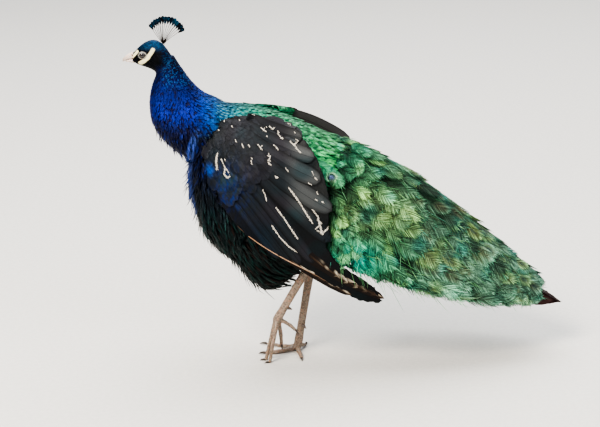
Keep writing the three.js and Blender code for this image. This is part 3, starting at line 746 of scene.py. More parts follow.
# Each guide is x, z, then the way that feathers there point: dx, dz and outward.
BODY_LIE = [
    (-325, 722, 1, 0.2, 0.1), (-305, 745, 0.8, 0.5, 0), (-280, 755, 1, 0.1, 0), (-300, 715, 1, 0.05, 0),
    (-300, 705, 1, -0.2, 0), (-280, 720, 1, -0.05, 0), (-262, 750, 0.9, -0.4, 0), (-258, 725, 0.8, -0.6, 0),
    (-240, 725, 0.25, -1, 0), (-262, 700, 0.35, -1, 0), (-275, 690, 0.1, -1, 0), (-236, 690, 0.05, -1, 0),
    (-270, 660, -0.15, -1, 0), (-205, 665, 0.2, -1, 0), (-285, 610, -0.03, -1, 0), (-180, 630, 0.5, -0.9, 0),
    (-235, 625, 0.1, -1, 0), (-288, 560, 0.12, -1, 0), (-225, 575, 0.22, -1, 0), (-150, 618, 0.85, -0.4, 0),
    (-262, 515, 0.35, -1, 0), (-200, 530, 0.25, -1, 0), (-160, 575, 0.7, -0.7, 0), (-110, 612, 1, -0.1, 0),
    (-60, 604, 1, -0.08, 0), (-100, 570, 0.95, -0.35, 0.1), (0, 592, 1, -0.25, 0), (60, 560, 0.92, -0.45, 0),
    (130, 515, 0.85, -0.5, 0), (-212, 450, 0.1, -1, 0), (-160, 480, 0.25, -1, 0), (-208, 380, 0.15, -1, 0),
    (-190, 310, 0.4, -1, 0), (-150, 380, 0.35, -1, 0), (-120, 260, 0.5, -1, 0), (-100, 420, 0.45, -1, 0),
    (-85, 330, 0.5, -1, 0), (-75, 190, 0.7, -0.8, 0), (-40, 160, 0.95, -0.3, 0), (-20, 300, 0.6, -0.9, 0),
    (0, 185, 1, -0.3, 0), (30, 240, 0.8, -0.7, 0), (50, 300, 0.9, -0.5, 0), (100, 250, 1, -0.15, 0),
    (20, 420, 0.85, -0.6, 0), (100, 420, 0.9, -0.45, 0),
]


def body_lie(points):
    return guided(points, BODY_LIE)


def coat(name, surface, keep, spacing, length, width, depth, seed, rows=5, columns=3, lie=body_lie, **more):
    """Scatters one tract of vanes over a surface. length, width and depth are in mm, or functions of the roots."""
    rng = np.random.default_rng(seed)
    gap = (lambda p: spacing(p) * MM) if callable(spacing) else spacing * MM
    roots, normals = surface.scatter(keep, gap, rng)
    count = len(roots)
    read = lambda value: (value(roots) if callable(value) else np.full(count, float(value))) * MM
    vary = 1 + (rng.random(count) - 0.5) * more.pop("vary", 0.3)
    reach = read(length) * vary
    turn = (rng.random((count, 1)) - 0.5) * more.pop("stray", 0.25)
    along = lambda p: unit(lie(p) + turn * np.cross(lie(p), normals))
    centre, up = lay(surface, roots, normals, along, reach, rows)
    off = np.linalg.norm(surface.near(centre[:, -1])[0] - centre[:, -1], axis=1)
    overhang = more.pop("overhang", 0.5)
    kept = off < (overhang(roots) if callable(overhang) else overhang) * reach
    roots, centre, up, count = roots[kept], centre[kept], up[kept], int(kept.sum())
    s = np.linspace(0, 1, rows)
    rise = more.pop("rise", 0.75)
    high = read(depth)[:, None] * (1 - (1 - s) ** 2) ** rise
    loose = (rng.random(count) ** 4 * more.pop("loose", 0.5))[:, None] * read(depth)[:, None] * s**2
    centre = centre + up * (high + loose)[..., None]
    shape = more.pop("shape", ([0, 0.3, 0.7, 0.9, 1], [0.5, 0.95, 1, 0.7, 0.05]))
    half = read(width)[:, None] / 2 * np.interp(s, *shape) * (0.85 + 0.3 * rng.random((count, 1)))
    lot = rng.random((count, 1, 1))
    paint = more.pop("paint")
    tint = lambda p, s, t: paint(p, s, t, lot)
    where = more.pop("where", wrap_body)
    vanes(name, centre, up, half, more.pop("material"), more.pop("slot"), tint, where, columns, **more)
    return centre, up, 2 * half.max(1) / max(shape[1]), lot


def away_from_face(points):
    """True where a feather reaches neither the bare patches nor the eyelids."""
    lie = body_lie(points)
    clear = ~around_eye(points, 1.08)
    for share in (0.0, 0.35, 0.7, 0.95):
        probe = points + lie * (share * face_length(points) * MM)[:, None]
        clear &= ~around_eye(probe, 0.98) & (bare_face(probe) < 0.5)
    return clear


def face_length(points):
    """Feather length in mm over the head: shortest round the bill and eyes."""
    x, z = points[:, 0] / MM, points[:, 2] / MM
    return 3.0 + 2.2 * np.maximum(smooth(x, -286, -262), smooth(z, 736, 746))


def head_border(x):
    """The height in mm at which the head's short feathers give way to the neck's."""
    return np.interp(x, [-320, -270, -240, -200], [676, 690, 697, 682])


def head_area(points, normals):
    x, z = points[:, 0] / MM, points[:, 2] / MM
    return (z > head_border(x)) & (x > -325) & away_from_face(points)


def neck_area(points, normals):
    x, z = points[:, 0] / MM, points[:, 2] / MM
    return (z <= head_border(x) + 4) & (z > 560) & (x < -150) & away_from_face(points)


def nape_speckle(p, lot):
    x, z = p[..., 0] / MM, p[..., 2] / MM
    back = smooth(x, -262, -246) * smooth(z, 640, 665)
    return back * (lot > 0.55)


def head_paint(p, s, t, lot):
    colour = body_tint(p) * (0.7 + 0.7 * lot[..., None])
    crown = smooth(p[..., 2] / MM, 733, 745) * smooth(s, 0.4, 0.9)
    colour = blend(colour, srgb("#17648c"), crown * 0.45 * (lot > 0.4))
    return blend(colour, srgb("#2a8cc4"), nape_speckle(p, lot) * smooth(s, 0.5, 1) * 0.6)


def neck_paint(p, s, t, lot):
    colour = body_tint(p) * (0.75 + 0.5 * lot[..., None])
    low = smooth(p[..., 2] / MM, 625, 575)
    # Brighter blue tips on half the neck's feathers, strongest in a band low on the neck: painted sheen.
    painted_sheen_band = smooth(p[..., 2] / MM, 545, 580) * smooth(p[..., 2] / MM, 640, 610)
    colour = blend(colour, srgb("#2048bc"), smooth(s, 0.55, 1) * (0.06 + 0.3 * painted_sheen_band) * (lot > 0.5))
    colour = blend(colour, srgb("#0b0624"), (lot < 0.10 + 0.25 * low) * 0.75)
    return blend(colour, srgb("#2f8fd0"), nape_speckle(p, lot) * smooth(s, 0.5, 1) * 0.5)


coat(
    "coat_head", skin, head_area, lambda p: 0.40 * face_length(p), face_length, lambda p: 0.58 * face_length(p), 0.9, 11, rows=4, vary=0.3, stray=0.2,
    paint=head_paint, material=SLEEK, slot="blue_plumage",
)
coat(
    "coat_neck", skin, neck_area,
    lambda p: np.interp(p[:, 2] / MM, [560, 620, 675, 705], [4.0, 3.4, 2.6, 2.0]),
    lambda p: np.interp(p[:, 2] / MM, [560, 620, 675, 705], [20, 15, 9, 5.5]),
    lambda p: np.interp(p[:, 2] / MM, [560, 620, 675, 705], [5.4, 4.4, 3.6, 2.9]),
    lambda p: np.interp(p[:, 2] / MM, [560, 620, 675, 705], [5.5, 4.0, 2.2, 1.2]), 12, rows=5,
    paint=neck_paint, material=SLEEK, slot="blue_plumage", stray=0.3,
)

WINGS_NODES = ("wing_coverts", "wing_secondaries", "wing_primaries")
wing_tree = Surface(*welded([f"{side}_{part}" for side, _ in SIDES for part in WINGS_NODES])).tree
train_tree = Surface(*welded(["train_saddle", "train_middle", "train_left", "train_right"])).tree


def clear_of(points, tree, distance):
    return np.array([tree.find_nearest(p)[3] for p in points.tolist()]) > distance * MM


def trunk_area(points, normals):
    x, y, z = (points[:, k] / MM for k in range(3))
    low = (z <= 562) | (x >= -152)
    open_air = clear_of(points, wing_tree, 7) & clear_of(points, train_tree, 5)
    return low & (z > 120) & (x < 250) & open_air & (leg_share(points) < 0.35)


def is_mantle(x, z):
    return (z > 528 - 0.30 * np.maximum(x, -60)) & (x > -190)


def breast_area(points, normals):
    x, z = points[:, 0] / MM, points[:, 2] / MM
    return trunk_area(points, normals) & ~is_mantle(x, z)


def mantle_area(points, normals):
    x, z = points[:, 0] / MM, points[:, 2] / MM
    return trunk_area(points, normals) & is_mantle(x, z)


def breast_paint(p, s, t, lot):
    x, y, z = (p[..., k] / MM for k in range(3))
    colour = body_tint(p) * (0.75 + 1.4 * lot[..., None])
    streak = (lot > 0.72) & (z > 430) & (x < -100)
    colour = blend(colour, srgb("#12308a"), streak * smooth(s, 0.3, 0.8) * 0.5)
    colour = blend(colour, srgb("#0f4a44"), (lot > 0.6) * smooth(z, 430, 330) * smooth(s, 0.4, 1) * 0.6)
    colour = blend(colour, srgb("#2a1712"), (lot < 0.13) * smooth(z, 380, 330) * 0.8)
    edge = smooth(np.abs(t), 0.5, 1) * smooth(z, 470, 430)
    return colour * (1 - 0.5 * edge)[..., None]


def mantle_paint(p, s, t, lot):
    x = p[..., 0] / MM
    colour = body_tint(p) * (0.5 + 0.75 * lot[..., None])
    green = smooth(x, -130, 20)
    rim = smooth(s + 0.35 * np.abs(t), 0.80, 1.05)
    gleam = smooth(np.abs(t + 0.45), 0.3, 0.1) * smooth(s, 0.35, 0.6) * smooth(x, -185, -120)
    colour = blend(colour, srgb("#8fc4b4"), gleam * (lot > 0.35) * 0.5)
    colour = blend(colour, srgb("#86c88e"), (1 - rim) * smooth(s, 0.55, 0.8) * green * 0.4 * (lot > 0.3))
    return blend(colour, srgb("#031a16"), rim * (0.35 + 0.25 * green))


coat(
    "coat_breast", skin, breast_area,
    lambda p: np.interp(p[:, 2] / MM, [200, 420, 560], [6.0, 5.6, 4.4]),
    lambda p: np.interp(p[:, 2] / MM, [200, 330, 470, 560], [46, 40, 27, 21]),
    lambda p: np.interp(p[:, 2] / MM, [200, 420, 560], [6.5, 7.5, 6.5]),
    lambda p: np.interp(p[:, 2] / MM, [200, 420, 560], [9, 8, 6.5]), 21, rows=6, vary=0.5, stray=0.4,
    shape=([0, 0.25, 0.6, 0.85, 1], [0.5, 1, 0.85, 0.45, 0.05]),
    paint=breast_paint, material=SLEEK, slot="dark_plumage", loose=2.2,
)
coat(
    "coat_mantle", skin, mantle_area,
    lambda p: np.interp(p[:, 0] / MM, [-180, -80, 40], [5.0, 6.0, 6.8]),
    lambda p: np.interp(p[:, 0] / MM, [-180, -80, 40, 95], [19, 21, 23, 32]),
    lambda p: np.interp(p[:, 0] / MM, [-180, -80, 40], [7.0, 9, 11]),
    lambda p: np.interp(p[:, 0] / MM, [50, 75, 100], [4, 7, 13]), 22, rows=7, columns=5, cup=0.06, overhang=0.2,
    shape=([0, 0.3, 0.7, 0.88, 1], [0.5, 0.95, 1, 0.75, 0.2]),
    paint=mantle_paint, material=SLEEK, slot="green_plumage",
)

# ---------------------------------------------------------------- train

TRAIN_LIE = [
    (95, 540, 0.9, -0.4, 0), (180, 492, 0.85, -0.5, 0.05), (300, 420, 0.82, -0.57, 0.08), (420, 318, 0.78, -0.6, 0.03),
    (540, 205, 0.75, -0.62, 0), (100, 470, 0.85, -0.5, 0.1), (120, 400, 0.55, -0.82, 0.1), (120, 330, 0.35, -0.93, 0),
    (110, 270, 0.3, -0.95, 0), (180, 400, 0.75, -0.66, 0.1), (180, 300, 0.5, -0.86, 0), (190, 220, 0.4, -0.9, 0),
    (250, 350, 0.8, -0.6, 0.05), (260, 260, 0.6, -0.78, 0), (270, 190, 0.7, -0.7, 0), (340, 300, 0.82, -0.56, 0),
    (350, 200, 0.78, -0.6, 0), (430, 240, 0.86, -0.5, 0), (440, 160, 0.88, -0.45, 0), (520, 170, 0.87, -0.48, 0),
    (590, 140, 0.9, -0.42, 0),
]


def train_lie(points):
    return guided(points, TRAIN_LIE)


train_verts, train_tris = remeshed(["train_saddle", "train_middle", "train_left", "train_right"], 5.0 * MM, 9)
train_verts = sunk(train_verts, train_tris, 9 * MM)
# The bed's front edge dips under the back's feathers.
train_front = smooth(train_verts[:, 0] / MM, 128, 108) * smooth(train_verts[:, 2] / MM, 488, 504)
train_verts[:, 2] -= 14 * MM * train_front
train = Surface(train_verts, train_tris)


def train_tint(points):
    """Green over the train: a painted yellow-green sheen in the middle of each flank, teal below, bronze to the rear.
    """
    x, y, z = (points[..., k] / MM for k in range(3))
    colour = ramp(x, [(60, "#4c946c"), (150, "#44906e"), (230, "#548e66"), (330, "#6c957c"), (480, "#7aa488"), (620, "#6c9480")])
    # Painted sheen: a spot in the middle of each flank blended yellow-green and made brighter.
    sheen_spot = np.exp(-(((x - 195) / 95) ** 2 + ((z - 365) / 65) ** 2))
    colour = blend(colour, srgb("#94ac70"), np.clip(sheen_spot, 0, 1) * 0.65)
    colour = blend(colour, srgb("#3f5e48"), smooth(z + 0.62 * x, 550, 585) * smooth(x, 190, 250) * 0.7)
    teal = np.exp(-(((x - 170) / 60) ** 2 + ((z - 265) / 40) ** 2))
    colour = blend(colour, srgb("#1f9684"), np.clip(teal, 0, 1) * 0.8)
    low = smooth(z + 0.34 * x, 345, 315) * smooth(x, 220, 280)
    colour = colour * (1 + 0.3 * np.clip(sheen_spot, 0, 1) + 0.85 * low + 0.45 * smooth(x, 160, 110) * smooth(z, 420, 460))[..., None]
    patchy = 0.5 + 0.5 * wobble(points, 38 * MM, 4.0)
    colour = blend(colour, srgb("#3f9c90"), smooth(patchy, 0.62, 0.9) * 0.6)
    colour = blend(colour, srgb("#7a9658"), smooth(patchy, 0.35, 0.1) * 0.5)
    return colour


# The bed under the train's feathers: the train's green darkened to a fraction, as painted shade in the gaps between
# feathers, less at the front, and blended to dark brown low down.
def shaded_train_ground(points):
    low = smooth(points[..., 2] / MM, 300, 150)
    front = smooth(points[..., 0] / MM, 175, 145)
    return blend(train_tint(points) * (0.14 + 0.3 * front)[..., None], srgb("#15100c"), low * 0.5)


bed = new_object("train_bed", train_verts, train_tris)
streak = train_verts[:, (0, 2, 1)]
dress(
    bed, train_tris, BARBS, "train_feathers", shaded_train_ground(train_verts), streak, wrap_train(train_verts),
    ("train_saddle", "train_middle", "train_left", "train_right"),
)


def outer_train(points, normals):
    """The side of the train that shows: open to the sky or to its own side, and not its front."""
    open_air = np.zeros(len(points), bool)
    for k, (p, n) in enumerate(zip((points + normals * MM).tolist(), normals.tolist())):
        aside = Vector((0, math.copysign(1, p[1]), 0.25))
        if n[2] > 0.1 and train.tree.ray_cast(Vector(p), Vector((0, 0, 1)))[0] is None:
            open_air[k] = True
        elif n[2] > -0.6 and n[1] * aside.y > 0.1:
            open_air[k] = train.tree.ray_cast(Vector(p), aside)[0] is None
    return open_air & (normals[:, 0] > -0.45)


def on_saddle(points):
    x, z = points[:, 0] / MM, points[:, 2] / MM
    return (z > 470 - 0.10 * (x - 100)) & (x > 80) & (x < 165)


def saddle_area(points, normals):
    return outer_train(points, normals) & on_saddle(points) & (normals[:, 0] > -0.15)


def fan_area(points, normals):
    x, z = points[:, 0] / MM, points[:, 2] / MM
    return outer_train(points, normals) & ((z < 478 - 0.10 * (x - 100)) | (x > 128)) & (x > 92) & (x + 0.35 * (z - 120) < 556 + 22 * (np.abs(points[:, 1]) < 32 * MM))


def saddle_paint(p, s, t, lot):
    colour = train_tint(p) * (0.55 + 0.8 * lot[..., None])
    rim = smooth(s + 0.30 * np.abs(t) ** 2, 0.74, 0.96)
    # Painted highlight: a lighter green patch to one side of each saddle feather's shaft, inside its dark rim.
    painted_highlight = smooth(s, 0.4, 0.7) * (1 - rim) * smooth(np.abs(t + 0.3), 0.8, 0.2)
    colour = blend(colour, ramp(lot, [(0, "#62bc88"), (0.6, "#a4d088"), (1, "#70c0ac")]), painted_highlight * 0.75 * (lot > 0.25))
    return blend(colour, srgb("#06261a"), rim * 0.7)


def fan_paint(p, s, t, lot):
    x = p[..., 0] / MM
    colour = train_tint(p) * (0.2 + 1.2 * lot[..., None])
    tipward = smooth(s, 0.35, 0.85)
    colour = blend(colour * 0.26, colour * 1.3, tipward)
    colour = blend(colour, srgb("#9dbb5c"), (lot > 0.8) * tipward * 0.45)
    eye_spot = np.hypot((s - 0.76) / 0.17, t / 0.6)
    bronze = smooth(x, 250, 340) * (lot > 0.5) * smooth(eye_spot, 1.1, 0.8)
    colour = blend(colour, srgb("#4f4028"), bronze * 0.65)
    core = smooth(x, 300, 400) * (lot > 0.7) * smooth(eye_spot, 0.55, 0.35)
    colour = blend(colour, srgb("#1f4650"), core * 0.7)
    edge = smooth(np.abs(t), 0.75, 1.0) + smooth(s, 0.95, 1.02)
    return blend(colour, srgb("#5cc49c"), np.clip(edge, 0, 1) * 0.35 * (lot < 0.6))


def shaded_fan_webbing(p, s, t, lot):
    """The close webbing behind a fan's loose barbs, at 0.4 of the fan's colour as painted shade in the gaps between
    barbs.
    """
    return fan_paint(p, s, t, lot) * 0.4


def on_line(lines, s):
    """Values of per-feather lines (N, K, 3) read at shares s (N, B, R), carried on straight past the tip."""
    count, rows = lines.shape[:2]
    at = np.clip(s, 0, 1) * (rows - 1)
    low = np.clip(np.floor(at).astype(int), 0, rows - 2)
    rest = (at - low)[..., None]
    index = np.arange(count)[:, None, None]
    value = lines[index, low] * (1 - rest) + lines[index, low + 1] * rest
    past = np.clip(s - 1, 0, None)[..., None]
    return value + past * (rows - 1) * (lines[index, rows - 1] - lines[index, rows - 2])


def fan_barbs(name, centre, up, width, lot, paint, rng, per_side=26, rows=4, root=0.14, lift=1.3):
    """Flat barbs that leave each fan's shaft and end round its rim, a little past it and unevenly."""
    count = len(centre)
    barbs = 2 * per_side
    share = np.tile(np.linspace(0, 1, per_side), 2)[None] + rng.uniform(-0.02, 0.02, (count, barbs))
    share = np.clip(share, 0, 1)
    sign = np.repeat([-1.0, 1.0], per_side)[None]
    open_at = rng.uniform(0.42, 0.68, (count, 1))
    phi = np.radians(-14 + 104 * share)
    over = 1 + rng.uniform(-0.09, 0.09, (count, barbs)) + 0.16 * (rng.random((count, barbs)) > 0.9)
    start = root + (0.92 - root) * share
    end_s = open_at + (1.02 - open_at) * np.sign(phi) * np.abs(np.sin(phi)) ** 0.75 * over
    end_a = width[:, None] / 2 * np.cos(phi) ** 0.62 * over
    step = np.linspace(0, 1, rows)[None, None]
    bend = step ** 0.8
    s = start[..., None] + (end_s - start)[..., None] * step
    across = end_a[..., None] * bend * sign[..., None]
    flat_side = unit(np.cross(unit(np.gradient(centre, axis=1)), up))
    arch = 0.22 * across**2 / np.maximum(width[:, None, None] / 2, 1e-6)
    high = lift * MM * (0.4 + rng.random((count, barbs, 1))) * step + 0.25 * MM
    path = on_line(centre, s) + on_line(flat_side, s) * across[..., None] + on_line(up, s) * (high - arch)[..., None]
    t = across / (width[:, None, None] / 2)
    colours = paint(path, s, t, lot[:, :, :] if lot.ndim == 3 else lot[:, None, None])
    tone = rng.uniform(0.3, 1.6, (count, barbs, 1, 1))
    colours = (colours * tone).reshape(count * barbs, rows, 3)
    radius = np.broadcast_to(np.interp(step, [0, 0.33, 0.67, 1], [0.5, 0.85, 0.95, 0.3]) * MM, (count, barbs, rows))
    radius = radius * (0.8 + 0.5 * rng.random((count, barbs, 1)))
    facing = unit(on_line(up, s)).reshape(count * barbs, rows, 3)
    roots = np.repeat(centre[:, 0], barbs, axis=0)
    tubes(
        name, path.reshape(-1, rows, 3), radius.reshape(-1, rows), BARBS, "train_feathers", colours, wrap_train,
        flat=0.3, up=facing, roots=roots,
    )


def fan_length(points):
    """Feather length over the train in mm: short where it starts and where it ends, shorter on its back."""
    x, z = points[:, 0] / MM, points[:, 2] / MM
    length = np.interp(x, [90, 130, 190, 260, 400, 500, 540, 565, 600], [50, 72, 96, 114, 120, 84, 50, 30, 20])
    return length * (1 - 0.35 * smooth(z, 440, 480) * smooth(x, 200, 140))


coat(
    "saddle", train, saddle_area,
    lambda p: np.interp(p[:, 0] / MM, [60, 130, 165], [5.2, 6.6, 8.0]),
    lambda p: np.interp(p[:, 0] / MM, [60, 130, 165], [22, 30, 36]),
    lambda p: np.interp(p[:, 0] / MM, [60, 130, 165], [9.0, 12, 14]), 4.5, 31, rows=8, columns=5, cup=0.06, overhang=0.2,
    shape=([0, 0.4, 0.75, 0.9, 1], [0.4, 0.85, 1, 0.8, 0.3]), lie=train_lie, where=wrap_train,
    paint=saddle_paint, material=BROAD, slot="green_plumage", loose=0.4,
)
fans = coat(
    "fans", train, fan_area,
    lambda p: np.interp(p[:, 0] / MM, [100, 150, 200, 260, 400, 600], [11.5, 14.5, 16.5, 18.5, 18.5, 13]),
    fan_length,
    lambda p: np.interp(p[:, 0] / MM, [100, 150, 200, 260, 400, 600], [34, 46, 56, 62, 54, 24]), 10, 32, rows=8, columns=5,
    shape=([0, 0.3, 0.5, 0.8, 0.93, 1], [0.04, 0.08, 0.26, 0.5, 0.42, 0.1]), lie=train_lie, where=wrap_train,
    paint=shaded_fan_webbing, material=BROAD, slot="train_feathers", vary=0.35, stray=0.55, loose=1.0,
    overhang=lambda p: np.where((p[:, 0] > 505 * MM) & (np.abs(p[:, 1]) < 32 * MM), 1.5, 0.3),
)
fan_barbs("fan_barbs", *fans, fan_paint, np.random.default_rng(33))

STRAND_ROWS = 6


def strand_colours(path, rng):
    tone = ramp(rng.random(len(path)), [(0, "#2c6e4a"), (0.5, "#6fb070"), (0.8, "#9ccb8c"), (1, "#58b0a0")])
    shade = 0.35 + 0.75 * np.linspace(0, 1, STRAND_ROWS)[None, :, None]
    return tone[:, None] * shade + train_tint(path) * 0.2


def strand_radius(count, rng):
    taper = np.array([0.35, 0.55, 0.55, 0.5, 0.4, 0.2]) * MM
    return taper * rng.uniform(0.8, 1.35, (count, 1))


def add_strands(spacing=14):
    """Long loose barbs lying over the train."""
    rng = np.random.default_rng(34)
    roots, normals = train.scatter(fan_area, spacing * MM, rng)
    turn = rng.normal(0, 0.35, (len(roots), 1))
    along = lambda p: unit(train_lie(p) + turn * np.cross(train_lie(p), normals))
    length = rng.uniform(0.45, 1.0, len(roots)) * fan_length(roots) * MM
    path, up = lay(train, roots, normals, along, length, STRAND_ROWS)
    rise = (1 - (1 - np.linspace(0, 1, STRAND_ROWS)) ** 2) * rng.uniform(9, 15, (len(roots), 1)) * MM
    path = path + up * rise[..., None]
    radius = strand_radius(len(path), rng)
    tubes("train_strands", path, radius, BARBS, "train_feathers", strand_colours(path, rng), wrap_train, flat=0.4, up=up)


def fringe_area(points, normals):
    x, z = points[:, 0] / MM, points[:, 2] / MM
    low = z < np.interp(x, [100, 200, 330, 480, 560], [285, 235, 190, 150, 118])
    return outer_train(points, normals) & low & (x > 105) & (np.abs(normals[:, 1]) > 0.3)


def add_fringe(spacing=6.5):
    """Loose barbs that hang free below the train's lower edge."""
    rng = np.random.default_rng(35)
    roots, normals = train.scatter(fringe_area, spacing * MM, rng)
    count = len(roots)
    step = np.linspace(0, 1, STRAND_ROWS)[None, :, None]
    out = unit(train_lie(roots) + 0.22 * normals + rng.normal(0, 0.16, (count, 3)))[:, None]
    length = (rng.uniform(22, 58, (count, 1, 1)) * np.interp(roots[:, 0] / MM, [100, 400, 560], [1, 1, 0.4])[:, None, None]) * MM
    fall = np.array([0, 0, -1.0]) * length * 0.28 * step**2
    path = roots[:, None] + out * length * step + fall + normals[:, None] * 5 * MM * step
    path[..., 1] = np.sign(path[..., 1]) * np.minimum(np.abs(path[..., 1]), 140 * MM)
    up = np.broadcast_to(normals[:, None], path.shape)
    radius = strand_radius(count, rng)
    tubes("train_fringe", path, radius, BARBS, "train_feathers", strand_colours(path, rng), wrap_train, flat=0.4, up=up)


add_strands()
add_fringe()

# ---------------------------------------------------------------- wings

WRISTS = {"left": (-165, 540, 44.5), "right": (-162, 541, 40.0)}
MARKS = [
    ([(-58, 593), (-53, 590)], 1.6), ([(-136, 562), (-133, 561)], 1.4), ([(-98, 542), (-95, 539)], 1.4),
    ([(-83, 535), (-80, 527)], 1.6), ([(-69, 533), (-66, 528)], 1.6), ([(-38, 565), (-33, 562)], 1.5),
    ([(-22, 569), (-14, 563), (-10, 567)], 2.0), ([(-3, 560), (-1, 554)], 1.7), ([(1, 549), (8, 544)], 1.7),
    ([(-48, 533), (-43, 527), (-38, 522)], 1.9), ([(-43, 527), (-38, 531)], 1.6), ([(-14, 532), (-8, 527), (-4, 522)], 1.8),
    ([(-64, 501), (-63, 493)], 1.7), ([(-25, 514), (-22, 508), (-24, 501)], 1.8), ([(-27, 496), (-21, 490)], 1.8),
    ([(23, 538), (31, 531), (40, 537)], 1.9), ([(31, 531), (38, 522), (45, 514)], 2.3), ([(12, 482), (17, 474)], 1.8),
    ([(-13, 466), (-6, 462)], 1.7), ([(69, 473), (72, 466)], 1.3), ([(77, 458), (80, 454)], 1.3),
    ([(60, 448), (68, 443)], 1.6), ([(78, 427), (80, 421)], 1.8), ([(88, 405), (92, 402)], 2.2),
    ([(74, 411), (79, 407)], 1.3), ([(20, 573), (26, 570)], 1.3), ([(-138, 514), (-142, 498), (-140, 478)], 3.0),
    ([(-130, 503), (-122, 484), (-114, 474)], 1.7), ([(-122, 484), (-125, 470), (-117, 462), (-112, 468)], 2.4),
    ([(17, 439), (34, 413), (51, 382), (67, 354)], 2.6), ([(-13, 394), (4, 368), (18, 344), (33, 318)], 2.2),
    ([(-24, 353), (-7, 324), (12, 301), (30, 286)], 2.2), ([(-41, 436), (-36, 424), (-33, 410)], 1.5),
    ([(68, 386), (79, 368), (82, 350), (73, 340)], 2.4), ([(83, 349), (87, 328), (101, 343)], 3.0),
    ([(78, 362), (86, 352)], 2.6), ([(76, 338), (88, 330)], 2.4),
    ([(-88, 582), (-86, 579)], 1.2), ([(-121, 580), (-121, 578)], 1.1), ([(-105, 571), (-103, 568)], 1.3),
    ([(-40, 567), (-34, 562), (-29, 559)], 1.4), ([(-36, 560), (-32, 565)], 1.2), ([(-29, 568), (-26, 566)], 1.2),
    ([(-4, 554), (1, 549), (6, 543)], 1.5), ([(-98, 544), (-96, 541)], 1.3), ([(33, 557), (36, 554)], 1.2),
    ([(-64, 507), (-61, 503)], 1.3), ([(-12, 463), (-9, 461)], 1.3), ([(74, 461), (76, 457)], 1.2),
    ([(-122, 502), (-121, 499)], 1.2), ([(-28, 510), (-22, 507)], 1.4), ([(-28, 501), (-21, 498)], 1.4),
    ([(-26, 493), (-20, 490)], 1.4), ([(-28, 551), (-26, 548)], 1.2), ([(36, 542), (41, 538)], 1.4),
]
WING_REACH = [-24, 16, 54, 98, 140, 200, 244, 284, 318, 345, 376, 547]
NEAR_UPPER = [22, 86, 121, 148, 157, 149, 127, 101, 66, 24, 4, -6]
FAR_UPPER = [18, 68, 98, 126, 144, 159, 162, 158, 124, 60, 12, -6]


def wing_frame(side, x, z):
    wx, wz, slope = WRISTS[side]
    c, s = math.cos(math.radians(slope)), math.sin(math.radians(slope))
    return (x - wx) * c - (z - wz) * s, (x - wx) * s + (z - wz) * c


def wing_place(side, along, offset):
    wx, wz, slope = WRISTS[side]
    c, s = math.cos(math.radians(slope)), math.sin(math.radians(slope))
    return wx + along * c + offset * s, wz - along * s + offset * c


def moved(x, z, start, end, upper_start, upper_end):
    """A place on one wing carried to the same place on the other, whose upper edge differs."""
    along, offset = wing_frame(start, x, z)
    ratio = np.interp(along, WING_REACH, upper_end) / np.interp(along, WING_REACH, upper_start)
    return wing_place(end, along, np.where(offset > 0, offset * np.clip(ratio, 0.6, 1.8), offset))


def near_to_far(x, z):
    return moved(x, z, "left", "right", NEAR_UPPER, FAR_UPPER)


def wing_tint(points):
    x, z = points[..., 0] / MM, points[..., 2] / MM
    colour = np.broadcast_to(srgb("#181d21"), points.shape)
    colour = blend(colour, srgb("#242026"), smooth(wobble(points, 60 * MM, 2.5), -0.2, 0.6) * 0.6)
    colour = blend(colour, srgb("#424444"), smooth(x, 0, 50) * smooth(z, 350, 400) * 0.8)
    colour = blend(colour, srgb("#12292e"), smooth(wobble(points, 45 * MM, 5.0), 0.1, 0.8) * 0.6)
    gloss = np.exp(-(((x + 120) / 42) ** 2 + ((z - 425) / 60) ** 2))
    lines = smooth(wobble(points * np.array([2.2, 1, 0.7]), 9 * MM, 1.3), -0.5, 0.6)
    colour = blend(colour, srgb("#0a2052"), np.clip(gloss, 0, 1) * lines)
    gleam = np.exp(-(((x + 157) / 8) ** 2 + ((z - 476) / 12) ** 2))
    colour = blend(colour, srgb("#1450a8"), np.clip(gleam, 0, 1) * 0.8)
    lower = smooth(z, 400, 330) * smooth(x, 10, -60)
    return blend(colour, srgb("#071624"), lower * 0.8)


def covert_paint(p, s, t, lot):
    colour = wing_tint(p) * (0.7 + 0.7 * lot[..., None])
    rim = smooth(s + 0.25 * np.abs(t) ** 2, 0.9, 1.02)
    colour = colour * (1 + 0.35 * smooth(s, 0.4, 0.8) * (1 - rim))[..., None]
    return blend(colour, srgb("#34343e"), rim * 0.35)


def wing_lie(side):
    def lie(points):
        x, z = points[..., 0] / MM, points[..., 2] / MM
        along, offset = wing_frame(side, x, z)
        steep = np.interp(offset, [-80, -30, 40, 90, 150], [40, 47, 54, 46, 30])
        steep = np.radians(np.where(along > 280, np.minimum(steep, 42), steep) + 25 * smooth(along, 60, -20) * (offset < 40))
        return np.stack([np.cos(steep), np.zeros_like(steep), -np.sin(steep)], axis=-1)

    return lie


